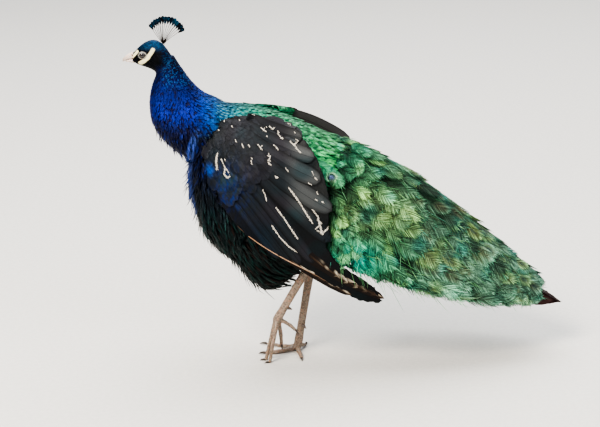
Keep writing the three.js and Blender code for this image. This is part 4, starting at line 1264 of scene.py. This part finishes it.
def long_vanes(name, side, surface, rows_of, material, slot, paint, columns=9, rows=16, **more):
    """Separate long feathers (root, tip, width, lift, sag) that lie on a wing, in mm, on its inner face if inner."""
    sign = dict(SIDES)[side]
    away = -sign if more.get("inner") else sign
    centre, up, half = [], [], []
    s = np.linspace(0, 1, rows)
    for (x0, z0), (x1, z1), width, lift, sag in rows_of:
        nx, nz = -(z1 - z0), x1 - x0
        size = math.hypot(nx, nz)
        bow = sag * 4 * s * (1 - s)
        x = x0 + (x1 - x0) * s + bow * nx / size
        z = z0 + (z1 - z0) * s + bow * nz / size
        if side == "right" and more.get("mapped", True):
            x, z = near_to_far(x, z)
        y = []
        for k in range(rows):
            start = Vector((x[k] * MM, sign * 0.15 + away * 0.15, z[k] * MM))
            hit = surface.tree.ray_cast(start, Vector((0, -away, 0)), 0.28)
            if hit[0] is not None:
                y.append(hit[0].y)
            else:
                y.append(surface.tree.find_nearest(Vector((start.x, y[-1] if y else sign * 0.1, start.z)))[0].y)
        y = np.array(y)
        y = np.convolve(np.pad(y, 2, mode="edge"), np.ones(5) / 5, mode="valid")
        line = np.stack([x * MM, y + away * lift * MM * (0.3 + 0.7 * smooth(s, 0, 0.4)), z * MM], axis=1)
        _, normal = surface.near(line)
        normal = unit(normal * 0.5 + np.array([0, away * 1.0, 0.1]))
        centre.append(line)
        up.append(normal)
        half.append(width * MM / 2 * np.interp(s, *more.get("shape", ([0, 0.15, 0.5, 0.85, 0.95, 1], [0.4, 0.8, 1, 1, 0.75, 0.3]))))
    lot = np.random.default_rng(len(rows_of)).random((len(rows_of), 1, 1))
    tint = lambda p, s, t: paint(p, s, t, lot)
    centre, up, half = np.array(centre), np.array(up), np.array(half)
    vanes(name, centre, up, half, material, slot, tint, wrap_side, columns, cup=0.10, thick=0.5 * MM)
    return centre, up, 2 * half.max(1), lot


SECONDARIES = [
    ((-128, 440), (-12, 272), 24, 1.0, 4), ((-118, 452), (12, 260), 25, 1.3, 4), ((-106, 464), (38, 256), 27, 1.8, 3),
    ((-90, 482), (66, 258), 30, 2.4, 3), ((-76, 506), (106, 310), 40, 3.2, -2), ((-80, 536), (111, 382), 44, 4.4, -8),
    ((-84, 562), (88, 452), 42, 5.4, -9), ((-80, 578), (76, 502), 38, 6.2, -8), ((-70, 590), (50, 544), 34, 6.8, -6),
]
PRIMARIES = [
    ((34, 284), (224, 158), 20, 0.6, -4), ((36, 290), (206, 168), 20, 0.9, -4), ((38, 296), (186, 178), 20, 1.2, -4),
    ((36, 300), (164, 190), 20, 1.5, -3), ((32, 304), (142, 204), 20, 1.8, -3), ((26, 310), (120, 222), 20, 2.1, -2),
    ((-20, 296), (150, 172), 16, 0.4, -5), ((-60, 330), (70, 228), 15, 0.5, -5),
]


def secondary_paint(p, s, t, lot):
    colour = wing_tint(p) * (0.8 + 0.5 * lot[..., None])
    colour = colour * (1 + 0.35 * (np.abs(t) < 0.6))[..., None]
    edge = smooth(np.abs(t), 0.75, 1) + smooth(s, 0.95, 1)
    return blend(colour, srgb("#040406"), np.clip(edge, 0, 1) * 0.8)


def primary_paint(p, s, t, lot):
    x, z = p[..., 0] / MM, p[..., 2] / MM
    colour = np.broadcast_to(srgb("#1d1512"), p.shape) * (0.8 + 0.5 * lot[..., None])
    grain = wobble(p, 5 * MM, 7.0) + 0.5 * wobble(p, 2.4 * MM, 3.0)
    cream = smooth(s, 0.5, 0.8) * smooth(grain, 0.1, 0.5) * (t < 0.1)
    colour = blend(colour, srgb("#d9cbb4"), cream * 0.9)
    return blend(colour, srgb("#7a5c44"), smooth(np.abs(t), 0.12, 0.02) * smooth(s, 0.3, 0.5) * 0.4)


INNER_VANES = [
    ((-66, 572), (20, 542), 26, 1.0, 2), ((-48, 560), (50, 518), 27, 1.6, 3), ((-22, 545), (74, 486), 28, 2.2, 4),
    ((0, 522), (86, 450), 28, 2.8, 4), ((18, 500), (96, 408), 26, 3.4, 4),
]
EDGE_SHAFT = [(-101, 353), (-82, 334), (-63, 317), (-27, 289), (20, 259), (67, 231), (101, 205)]


def inner_paint(p, s, t, lot):
    """The far side of a wing's uppermost feathers, greyer, with a pale streak beside the shaft."""
    colour = blend(np.broadcast_to(srgb("#2c2b2e"), p.shape), srgb("#4a4648"), lot * (np.abs(t) < 0.7))
    streak = smooth(np.abs(t - 0.35), 0.16, 0.06) * smooth(s, 0.45, 0.55) * smooth(s, 0.8, 0.7)
    colour = blend(colour, srgb("#8d8884"), streak * (lot > 0.4))
    return blend(colour, srgb("#0c0b0c"), smooth(np.abs(t), 0.8, 1) * 0.7)


def far_paint(p, s, t, lot):
    """The right wing's upper edge as seen across the back: charcoal painted lighter than the wing's own colour as
    painted light on that edge, with a pale streak.
    """
    colour = blend(np.broadcast_to(srgb("#4a4747"), p.shape), srgb("#5c5755"), lot * (np.abs(t) < 0.6))
    streak = smooth(np.abs(t - 0.2), 0.14, 0.05) * smooth(s, 0.5, 0.6) * smooth(s, 0.85, 0.75)
    colour = blend(colour, srgb("#a09a94"), streak * (lot > 0.5))
    return blend(colour, srgb("#1a1818"), smooth(np.abs(t), 0.82, 1) * 0.6)


def outer_faces(names):
    """One surface of the pieces already made."""
    verts, tris, base = [], [], 0
    for name in names:
        mesh = bpy.data.objects[name].data
        co = np.zeros(len(mesh.vertices) * 3)
        mesh.vertices.foreach_get("co", co)
        index = np.zeros(len(mesh.loops), np.int32)
        mesh.loops.foreach_get("vertex_index", index)
        verts.append(co.reshape(-1, 3) - SHIFT)
        tris.append(index.reshape(-1, 3) + base)
        base += len(mesh.vertices)
    return Surface(np.concatenate(verts), np.concatenate(tris))


def draped(side, surface, x, z, lift):
    """Points in mm (N, R) carried to a side's wing and set down on the surface, lifted a little off it."""
    sign = dict(SIDES)[side]
    if side == "right":
        x, z = near_to_far(x, z)
    flat = np.stack([x, np.full_like(x, sign * 250), z], axis=-1).reshape(-1, 3) * MM
    y = []
    for p in flat.tolist():
        hit = surface.tree.ray_cast(Vector(p), Vector((0, -sign, 0)), 0.24)
        y.append(hit[0].y if hit[0] is not None else surface.tree.find_nearest(Vector((p[0], sign * 0.1, p[2])))[0].y)
    flat[:, 1] = np.array(y) + sign * lift * MM
    return flat.reshape(x.shape + (3,))


FLECK_ROWS = 4


def add_flecks(side, surface):
    """Each pale mark of a wing as a tuft of short fine barbs lying along it."""
    rng = np.random.default_rng(43)
    xs, zs = [], []
    for path, width in MARKS:
        place = np.array(path, float)
        pieces = np.hypot(*np.diff(place, axis=0).T)
        reach = np.concatenate([[0], np.cumsum(pieces)])
        count = max(9, int(reach[-1] * width * 1.7))
        at = rng.uniform(0, reach[-1], count)
        middle = np.stack([np.interp(at, reach, place[:, k]) for k in (0, 1)], axis=1)
        index = np.clip(np.searchsorted(reach, at) - 1, 0, len(pieces) - 1)
        heading = np.arctan2(*(np.diff(place, axis=0)[index] / pieces[index, None])[:, ::-1].T)
        heading = heading + rng.normal(0, 0.5, count)
        middle = middle + rng.normal(0, 0.36 * width, (count, 2)) * [1, 0.8]
        length = rng.uniform(1.5, 3.6, count)
        step = np.linspace(-0.5, 0.5, FLECK_ROWS)
        xs.append(middle[:, :1] + (length * np.cos(heading))[:, None] * step)
        zs.append(middle[:, 1:] + (length * np.sin(heading))[:, None] * step)
    path = draped(side, surface, np.concatenate(xs), np.concatenate(zs), 0.55)
    count = len(path)
    radius = np.array([0.3, 0.55, 0.5, 0.15]) * MM * rng.uniform(0.8, 1.25, (count, 1))
    colour = np.broadcast_to(srgb("#efe7d8"), path.shape) * rng.uniform(0.7, 1.0, (count, 1, 1))
    up = np.broadcast_to([0.0, dict(SIDES)[side], 0.1], path.shape)
    tubes(f"{side}_flecks", path, radius, BARBS, "wing_feathers", colour, wrap_side, flat=0.35, up=up)


def add_edge_shaft(side, surface, rows=24):
    """The buff shaft and outer vane along the wing's lower edge."""
    line = np.array(EDGE_SHAFT, float)
    at = np.linspace(0, len(line) - 1, rows)
    x, z = (np.interp(at, np.arange(len(line)), line[:, k])[None] for k in (0, 1))
    path = draped(side, surface, x, z, 0.8)
    for k in range(3):
        path[0, :, k] = np.convolve(np.pad(path[0, :, k], 3, mode="reflect", reflect_type="odd"), np.ones(7) / 7, mode="valid")
    radius = np.interp(np.linspace(0, 1, rows), [0, 0.2, 0.7, 1], [0.5, 1.3, 1.2, 0.3])[None] * MM
    colour = ramp(np.linspace(0, 1, rows), [(0, "#3a2a22"), (0.25, "#a07c62"), (0.7, "#b9987c"), (1, "#6a5444")])[None]
    up = np.broadcast_to([0.0, dict(SIDES)[side], 0.1], path.shape)
    tubes(f"{side}_edge_shaft", path, radius, BARBS, "wing_feathers", colour, wrap_side, 6, flat=0.7, up=up)


def covert_band(side, low, high):
    sign = dict(SIDES)[side]

    def keep(points, normals):
        along, offset = wing_frame(side, points[:, 0] / MM, points[:, 2] / MM)
        outer = normals[:, 1] * sign > -0.5
        return outer & (along >= low(offset)) & (along < high(offset))

    return keep


def far_edge(along, below):
    """A place on the right wing that far along it and that far below its upper edge."""
    return wing_place("right", along, np.interp(along, WING_REACH, FAR_UPPER) - below)


# The right wing's upper edge: dark vanes behind, and the back's green feathers that lap over it in front.
FAR_VANES = [
    ((-34, 574), (164, 470), 34, 3.0, 12), ((-30, 556), (138, 474), 32, 3.8, 9), ((-10, 538), (110, 470), 30, 4.6, 6),
]
FAR_RIM = [(far_edge(a, d), far_edge(a + 27, d), 12, 4.6 + 0.1 * d, 1) for d in (24, 16, 8, 1) for a in range(-8, 118, 6)]


for side, sign in SIDES:
    names = [f"{side}_{part}" for part in WINGS_NODES]
    verts, tris = remeshed(names, 3.8 * MM, 5)
    verts = sunk(verts, tris, 5.0 * MM, 0.33)
    wing = Surface(verts, tris)
    base = new_object(f"{side}_wing_bed", verts, tris)
    # The bed under the wing's feathers takes the wing's colours at half brightness, as painted shade in the gaps
    # between feathers.
    dress(base, tris, BARBS, "wing_feathers", wing_tint(verts) * 0.5, None, wrap_side(verts), names)
    lie = wing_lie(side)
    common = dict(lie=lie, where=wrap_side, paint=covert_paint, material=WINGS, slot="wing_feathers", overhang=0.12)
    long_vanes(f"{side}_primaries", side, wing, PRIMARIES, WINGS, "wing_feathers", primary_paint)
    long_vanes(f"{side}_secondaries", side, wing, SECONDARIES, WINGS, "wing_feathers", secondary_paint, rows=30, columns=13)
    edge = lambda offset: np.interp(offset, [-90, -40, 40, 90, 150], [95, 100, 112, 118, 112])
    inner = lambda offset: edge(offset) - 48
    coat(
        f"{side}_lesser_coverts", wing, covert_band(side, lambda o: -90 + 0 * o, inner), 7.0, 26, 15, 3.4, 41,
        rows=8, columns=5, stray=0.2, cup=0.05, loose=0.1, shape=([0, 0.3, 0.7, 0.9, 1], [0.5, 0.95, 1, 0.8, 0.3]), **dict(common),
    )
    coat(
        f"{side}_median_coverts", wing, covert_band(side, inner, edge), 10.5, 42, 23, 4.6, 42,
        rows=10, columns=7, stray=0.2, cup=0.05, loose=0.1, shape=([0, 0.3, 0.75, 0.92, 1], [0.5, 0.95, 1, 0.8, 0.3]), **dict(common),
    )
    long_vanes(f"{side}_tertial_backs", side, wing, INNER_VANES, WINGS, "wing_feathers", inner_paint, inner=True)
    parts = ("primaries", "secondaries", "lesser_coverts", "median_coverts", "wing_bed")
    if side == "right":
        long_vanes("right_edge_vanes", side, wing, FAR_VANES, WINGS, "wing_feathers", far_paint, inner=True, mapped=False)
        long_vanes("right_back_rim", side, wing, FAR_RIM, SLEEK, "green_plumage", mantle_paint, 5, 7, inner=True, mapped=False)
    worn = outer_faces([f"{side}_{part}" for part in parts])
    add_flecks(side, worn)
    add_edge_shaft(side, worn)

# Each eyespot feather on the train's left flank: root, tip, width, lift, sag; and the ring's middle and its size in mm.
EYE_FEATHERS = [((80, 482), (136, 430), 34, 15, 0), ((160, 508), (220, 466), 26, 13, 0)]
EYE_RINGS = [(112, 449, 1.0), (197, 482, 0.7)]


def eyespot_paint(p, s, t, lot):
    x, z = p[..., 0] / MM, p[..., 2] / MM
    colour = train_tint(p) * (0.6 + 0.5 * smooth(np.abs(t), 0.9, 0.3))[..., None]
    for ring_x, ring_z, size in EYE_RINGS:
        out = np.hypot((x - ring_x) / 1.2, z - ring_z) / size
        shade = ramp(out, [(0, "#4a5f86"), (4.5, "#7d8fb0"), (5.5, "#24453f"), (7.5, "#2f5a4a"), (8.5, "#b4d4b4"), (10, "#6fae80")])
        colour = blend(colour, shade, smooth(out, 11.5, 10))
    return colour


eye_feathers = long_vanes("train_eyespots", "left", train, EYE_FEATHERS, BROAD, "train_feathers", eyespot_paint, 25, 36)
fan_barbs("eyespot_barbs", *eye_feathers, eyespot_paint, np.random.default_rng(36), per_side=60, rows=6, lift=0.6)

# ---------------------------------------------------------------- tail and undertail

TAIL_LINE = [(300, 352), (400, 284), (500, 210), (560, 168), (600, 137), (638, 108)]


def rectrix_paint(p, s, t, lot):
    colour = blend(np.broadcast_to(srgb("#3a2220"), p.shape), srgb("#4a2c26"), smooth(wobble(p, 9 * MM, 3), -0.3, 0.6))
    return colour * (0.75 + 0.5 * lot[..., None] - 0.35 * smooth(np.abs(t), 0.7, 1)[..., None])


def add_tail(count=9, rows=14):
    s = np.linspace(0, 1, rows)
    line = np.array(TAIL_LINE, float)
    reach = np.linspace(0, 1, len(line))
    centre, up = [], []
    for k in range(count):
        aside = (k - (count - 1) / 2) / ((count - 1) / 2)
        end = 1 - 0.11 * abs(aside) ** 1.5
        x = np.interp(s * end, reach, line[:, 0])
        z = np.interp(s * end, reach, line[:, 1]) - (1 + 26 * abs(aside) * smooth(s, 0.1, 0.7)) * (1 - 0.75 * smooth(s, 0.72, 1))
        y = aside * np.interp(x, [300, 500, 560, 600, 640], [16, 30, 30, 19, 4])
        centre.append(np.stack([x, y, z], axis=1) * MM)
        up.append(np.broadcast_to(unit(np.array([0.4, 0.9 * aside, 0.75 - 0.3 * abs(aside)])), (rows, 3)))
    half = np.broadcast_to(17.5 * MM * np.interp(s, [0, 0.3, 0.78, 0.92, 1], [0.3, 0.8, 1, 0.72, 0.08]), (count, rows))
    lot = np.random.default_rng(5).random((count, 1, 1))
    paint = lambda p, s, t: rectrix_paint(p, s, t, lot)
    vanes(
        "rectrices", np.array(centre), np.array(up), half, WINGS, "tail_feathers", paint, wrap_train, 7,
        cup=0.15, thick=0.5 * MM, stands_for=("tail",),
    )


add_tail()

under_verts, under_tris = remeshed(["undertail"], 3.0 * MM, 10)
under_verts = sunk(under_verts, under_tris, 7 * MM)
undertail = Surface(under_verts, under_tris)
under_bed = new_object("undertail_bed", under_verts, under_tris)
under_tint = np.broadcast_to(srgb("#1a1512"), under_verts.shape)
dress(under_bed, under_tris, BARBS, "undertail_down", under_tint, None, wrap_train(under_verts), ("undertail",))


def down_paint(p, s, t, lot):
    colour = ramp(lot, [(0, "#15110f"), (0.6, "#2c231d"), (1, "#4a3d33")])
    return np.broadcast_to(colour, p.shape) * (0.6 + 0.6 * smooth(s, 0.2, 1))[..., None]


coat(
    "undertail_down", undertail, lambda p, n: (n[:, 2] < 0.4) & (p[:, 0] > 60 * MM), 9, 42, 12, 8, 51, rows=6,
    shape=([0, 0.25, 0.6, 0.85, 1], [0.4, 1, 0.9, 0.5, 0.05]), lie=train_lie, where=wrap_train,
    paint=down_paint, material=DULL, slot="undertail_down", stray=0.6,
)


def inner_train(points, normals):
    x, y = points[:, 0] / MM, np.abs(points[:, 1]) / MM
    return (normals[:, 2] < -0.2) & (x > 140) & (x < 500) & (y < np.interp(x, [140, 350, 500], [96, 84, 30]))


coat(
    "train_lining", train, inner_train, 15, 62, 20, 4, 52, rows=6, columns=3,
    shape=([0, 0.25, 0.6, 0.85, 1], [0.3, 0.9, 1, 0.6, 0.05]), lie=train_lie, where=wrap_train,
    paint=down_paint, material=DULL, slot="train_feathers", stray=0.4,
)

# ---------------------------------------------------------------- crest

CREST_ROOT = (-252, 744)
PLUMES = 14


def crest_paint(p, s):
    colour = ramp(s, [(0, "#1a110c"), (0.7, "#2c1c12"), (1, "#06141f")])
    return np.broadcast_to(colour, p.shape)


def plume_paint(p, s, t, lot):
    colour = ramp(lot, [(0, "#02060d"), (0.6, "#051a2c"), (1, "#0b4058")])
    return np.broadcast_to(colour, p.shape) * (0.5 + 0.8 * smooth(s, 0.1, 0.7))[..., None]


def add_crest():
    rng = np.random.default_rng(61)
    shafts, tips, widths, barbs = [], [], [], []
    for k in range(PLUMES):
        share = k / (PLUMES - 1)
        angle = math.radians(35 + 86 * share)
        length = 58 + 7 * math.sin(math.pi * share) - 6 * share
        sway = 5 * (((k * 5) % 7) / 3 - 1)
        reach = np.linspace(0, 1, 7)
        bend = angle + 0.10 * (1 - reach)
        x = CREST_ROOT[0] + length * reach * np.cos(bend)
        z = CREST_ROOT[1] + length * reach * np.sin(bend) * 0.985
        shafts.append(np.stack([x, sway * reach, z], axis=1) * MM)
        line = np.linspace(0.74, 1.03, 8)
        tx = CREST_ROOT[0] + length * line * math.cos(angle)
        tz = CREST_ROOT[1] + length * line * math.sin(angle)
        tips.append(np.stack([tx, sway * line, tz], axis=1) * MM)
        widths.append(4.6 * MM * np.interp(np.linspace(0, 1, 8), [0, 0.3, 0.75, 0.92, 1], [0.08, 0.6, 1, 0.8, 0.2]))
        for _ in range(16):
            start = rng.uniform(0.72, 0.98)
            turn = angle + rng.choice([-1, 1]) * rng.uniform(0.25, 0.9)
            size = rng.uniform(4, 7.5)
            steps = np.linspace(0, 1, 4)
            bx = CREST_ROOT[0] + length * start * math.cos(angle) + size * steps * np.cos(turn - 0.3 * (turn - angle) * steps)
            bz = CREST_ROOT[1] + length * start * math.sin(angle) + size * steps * np.sin(turn - 0.3 * (turn - angle) * steps)
            barbs.append(np.stack([bx, sway * start + rng.uniform(-1.2, 1.2) * steps, bz], axis=1) * MM)
    stub = np.array([(-251, 0, 741), (-246, 2, 748), (-241, 3, 754)], float) * MM
    shafts = np.array(shafts)
    stout = np.where(np.isin(np.arange(PLUMES), (3, 8, 9)), 1.5, 0.85)[:, None]
    taper = np.array([0.62, 0.58, 0.54, 0.5, 0.48, 0.46, 0.4]) * MM * stout
    flat_up = np.broadcast_to([0.0, -1.0, 0.0], (PLUMES, 8, 3))
    lot = rng.random((PLUMES, 1, 1))
    tubes("crest_shafts", shafts, taper, BARBS, "crest_feathers", crest_paint, wrap_body, 5, stands_for=("crest",))
    tubes("crest_stub", stub[None], np.full((1, 3), 0.5 * MM), BARBS, "crest_feathers", crest_paint, wrap_body, 5)
    paint = lambda p, s, t: plume_paint(p, s, t, lot)
    vanes("crest_tips", np.array(tips), flat_up, np.array(widths), SLEEK, "crest_feathers", paint, wrap_body, 5, cup=0.15)
    barbs = np.array(barbs)
    thin = np.broadcast_to(np.array([0.4, 0.4, 0.3, 0.1]) * MM, barbs.shape[:2])
    dark = lambda p, s: blend(np.broadcast_to(srgb("#051422"), p.shape), srgb("#125f80"), smooth(wobble(p, 6 * MM, 2), -0.2, 0.7))
    tubes("crest_barbs", barbs, thin, BARBS, "crest_feathers", dark, wrap_body)


add_crest()

# ---------------------------------------------------------------- bill, eyes, claws


def horn_material(name, roughness):
    shader = Shader(name)
    tint = shader.attribute("tint").outputs["Color"]
    place = shader.add("ShaderNodeTexCoord").outputs["Object"]
    grain = shader.spread(shader.noise(place, 500.0, 4.0, 0.6), 0.3, 0.7, 0.82, 1.1)
    shade = shader.add("ShaderNodeCombineColor", {0: grain, 1: grain, 2: grain})
    shader.set(Base_Color=shader.mix(1.0, tint, shade.outputs[0], "MULTIPLY"), Roughness=roughness)
    shader.set(Subsurface_Weight=0.12, Subsurface_Scale=0.002)
    shader.bump(grain, 0.15, 0.0003)
    return shader.material


HORN = horn_material("horn", 0.38)


def carved(name, nodes, voxel, rounds, slot, tint, shape=None, grow=0.0):
    """A hard part rebuilt finely from its CAD nodes, with its details pressed in."""
    verts, tris = remeshed(nodes, voxel, rounds, grow=grow)
    if shape is not None:
        verts = shape(verts, Surface(verts, tris).normals)
    obj = new_object(name, verts, tris)
    dress(obj, tris, HORN, slot, tint(verts), None, wrap_body(verts), nodes)


NOSTRIL = (-320.5, 722.0)
BILL_GROW = 0.45 * MM


def press_nostril(verts, normals):
    x, z = verts[:, 0] / MM, verts[:, 2] / MM
    across, over = (x - NOSTRIL[0]) / 4.2, (z - NOSTRIL[1] + 0.25 * (x - NOSTRIL[0])) / 1.3
    pit = np.exp(-(across**2) - over**2)
    swell = np.exp(-((across * 0.7) ** 2) - ((over - 2.2) / 1.6) ** 2)
    side = (np.abs(normals[:, 1]) > 0.3)[:, None]
    return verts + normals * side * (0.7 * swell - 1.7 * pit)[:, None] * MM


def bill_tint(verts):
    x, z = verts[:, 0] / MM, verts[:, 2] / MM
    colour = ramp(x, [(-344, "#b9a79b"), (-330, "#d8c8bd"), (-312, "#cdbcb2")])
    # Painted shade: the nostril's opening darkened in its pit.
    pit = np.exp(-(((x - NOSTRIL[0]) / 3.4) ** 2) - ((z - NOSTRIL[1] + 0.25 * (x - NOSTRIL[0])) / 1.1) ** 2)
    colour = blend(colour, srgb("#3a2c28"), np.clip(pit * 1.3, 0, 1) * (z > 716))
    return blend(colour, srgb("#8d7f78"), smooth(z, 706, 701) * 0.8)


carved("upper_bill", ["bill_upper"], 0.6 * MM, 4, "bill_horn", bill_tint, press_nostril, BILL_GROW)
carved("lower_bill", ["bill_lower"], 0.6 * MM, 4, "bill_horn", bill_tint, None, BILL_GROW)
CLAWS = [f"{side}_claw_{k}" for side, _ in SIDES for k in (1, 2, 3, 4)]
claw_tint = lambda verts: np.broadcast_to(srgb("#4a4038"), verts.shape)
spur_tint = lambda verts: np.broadcast_to(srgb("#6e6056"), verts.shape)
carved("claws", CLAWS, 0.7 * MM, 3, "claw_horn", claw_tint)
carved("spurs", ["left_spur", "right_spur"], 0.7 * MM, 3, "claw_horn", spur_tint)


def eye_material():
    shader = Shader("eyeball")
    shader.set(Base_Color=shader.attribute("tint").outputs["Color"], Roughness=0.06, Coat_Weight=1.0, Coat_Roughness=0.02)
    return shader.material


EYE_GLOSS = eye_material()
LID_IN = (5.9, 5.0)


def add_eye(side, sign, rings=28, segments=56):
    middle = EYE * np.array([1, sign, 1])
    turn = np.linspace(0, 2 * math.pi, segments, endpoint=False)
    lean = np.linspace(0, math.pi, rings)[1:-1]
    aside = np.sin(lean)[:, None] * EYE_RADIUS
    x = middle[0] + aside * np.cos(turn)
    z = middle[2] + aside * np.sin(turn)
    y = np.broadcast_to(middle[1] + sign * np.cos(lean)[:, None] * EYE_RADIUS, x.shape)
    verts = np.stack([x, y, z], axis=-1).reshape(-1, 3)
    verts = np.concatenate([verts, middle[None] + [[0, sign * EYE_RADIUS, 0]], middle[None] - [[0, sign * EYE_RADIUS, 0]]])
    tris = []
    rows = rings - 2
    for r in range(rows - 1):
        for c in range(segments):
            a, b = r * segments + c, r * segments + (c + 1) % segments
            tris.extend([(a, a + segments, b + segments), (a, b + segments, b)])
    for c in range(segments):
        tris.append((len(verts) - 2, c, (c + 1) % segments))
        tris.append((len(verts) - 1, (rows - 1) * segments + (c + 1) % segments, (rows - 1) * segments + c))
    tris = np.array(tris) if sign < 0 else np.array(tris)[:, ::-1]
    away = np.hypot(verts[:, 0] - middle[0], verts[:, 2] - middle[2]) / MM
    colour = ramp(away, [(0, "#020202"), (2.7, "#020202"), (3.0, "#1c0f08"), (4.8, "#2c180d"), (5.6, "#080504")])
    colour[(verts[:, 1] - middle[1]) * sign < 0] = srgb("#100c0a")
    obj = new_object(f"{side}_eyeball", verts, tris)
    dress(obj, tris, EYE_GLOSS, "eye", colour, None, wrap_body(verts), (f"eye_{side}",))


def lid_ring(sign, segments=64):
    """A closed ring of bare wrinkled skin round one eye: inner edge on the eyeball, outer edge in the skin."""
    middle = EYE * np.array([1, sign, 1])
    turn = np.linspace(0, 2 * math.pi, segments, endpoint=False)
    shares = [0.0, 0.0, 0.12, 0.3, 0.45, 0.62, 0.8, 1.0, 1.0, 0.4]
    lifts = [-1.6, -0.1, 0.75, 0.35, 0.7, 0.25, 0.4, -0.5, -2.2, -3.0]
    rows = []
    for share, lift in zip(shares, lifts):
        wave = 0.15 * np.sin(7 * turn + 4 * share)
        rx = LID_IN[0] + (LID_OUT[0] - LID_IN[0]) * share + wave
        rz = LID_IN[1] + (LID_OUT[1] - LID_IN[1]) * share + wave
        x = middle[0] / MM + rx * np.cos(turn)
        z = middle[2] / MM + rz * np.sin(turn)
        out = np.hypot(x - middle[0] / MM, z - middle[2] / MM)
        ball = EYE[1] / MM + np.sqrt(np.maximum((EYE_RADIUS / MM + 0.35) ** 2 - out**2, 0))
        ground = []
        for px, pz in zip(x, z):
            hit = skin.tree.ray_cast(Vector((px * MM, sign * 0.06, pz * MM)), Vector((0, -sign, 0)), 0.06)
            ground.append(abs(hit[0].y) / MM if hit[0] is not None else 15.0)
        ground = np.array(ground)
        blend_out = smooth(share, 0.1, 0.6)
        y = np.maximum(ball * (1 - blend_out) + ground * blend_out, np.where(out < EYE_RADIUS / MM, ball, 0)) + lift
        rows.append(np.stack([x, sign * y, z], axis=-1) * MM)
    verts = np.array(rows).reshape(-1, 3)
    tris = []
    for r in range(len(rows)):
        for c in range(segments):
            a, b = r * segments + c, r * segments + (c + 1) % segments
            d, e = (a + segments) % len(verts), (b + segments) % len(verts)
            tris.extend([(a, e, d), (a, b, e)])
    tris = np.array(tris) if sign > 0 else np.array(tris)[:, ::-1]
    share = np.repeat(shares, segments)
    colour = ramp(share, [(0, "#1c1816"), (0.1, "#4a4744"), (0.35, "#85837c"), (0.8, "#9c9a92"), (1, "#2c2b2b")])
    return verts, tris, colour


lids = [lid_ring(sign) for _, sign in SIDES]
lid_verts = np.concatenate([lid[0] for lid in lids])
lid_tris = np.concatenate([lids[0][1], lids[1][1] + len(lids[0][0])])
for side, sign in SIDES:
    add_eye(side, sign)
lid_obj = new_object("eyelids", lid_verts, lid_tris)
dress(lid_obj, lid_tris, SKIN, "leg_skin", np.concatenate([lid[2] for lid in lids]), None, wrap_body(lid_verts))

# ---------------------------------------------------------------- leg scales

LEG_LIE = [(0, 180, -0.6, -0.75, 0), (57, 200, -0.4, -0.9, 0), (24, 40, -0.3, -1, 0), (-20, 100, -0.2, -1, 0)]
LEG_LIE += [(-30, 5, -1, -0.1, 0), (30, 5, 0.3, -0.3, 0), (0, 20, -0.8, -0.5, 0)]


def leg_area(points, normals):
    return (leg_share(points) > 0.75) & (points[:, 2] > 3 * MM)


def scale_paint(p, s, t, lot):
    colour = ramp(lot, [(0, "#6c5c4f"), (0.4, "#8c7a6a"), (0.8, "#a08f80"), (1, "#a57c66")])
    colour = np.broadcast_to(colour, p.shape)
    return blend(colour, srgb("#54463a"), smooth(s + 0.3 * np.abs(t), 0.85, 1.1) * 0.7)


coat(
    "leg_scales", skin, leg_area, 2.7, 4.4, 4.0, 0.5, 71, rows=5, columns=3, lie=lambda p: guided(p, LEG_LIE),
    shape=([0, 0.3, 0.7, 0.9, 1], [0.7, 1, 1, 0.75, 0.3]), paint=scale_paint, material=HORN, slot="leg_skin",
    loose=0.1, stray=0.1, vary=0.3,
)
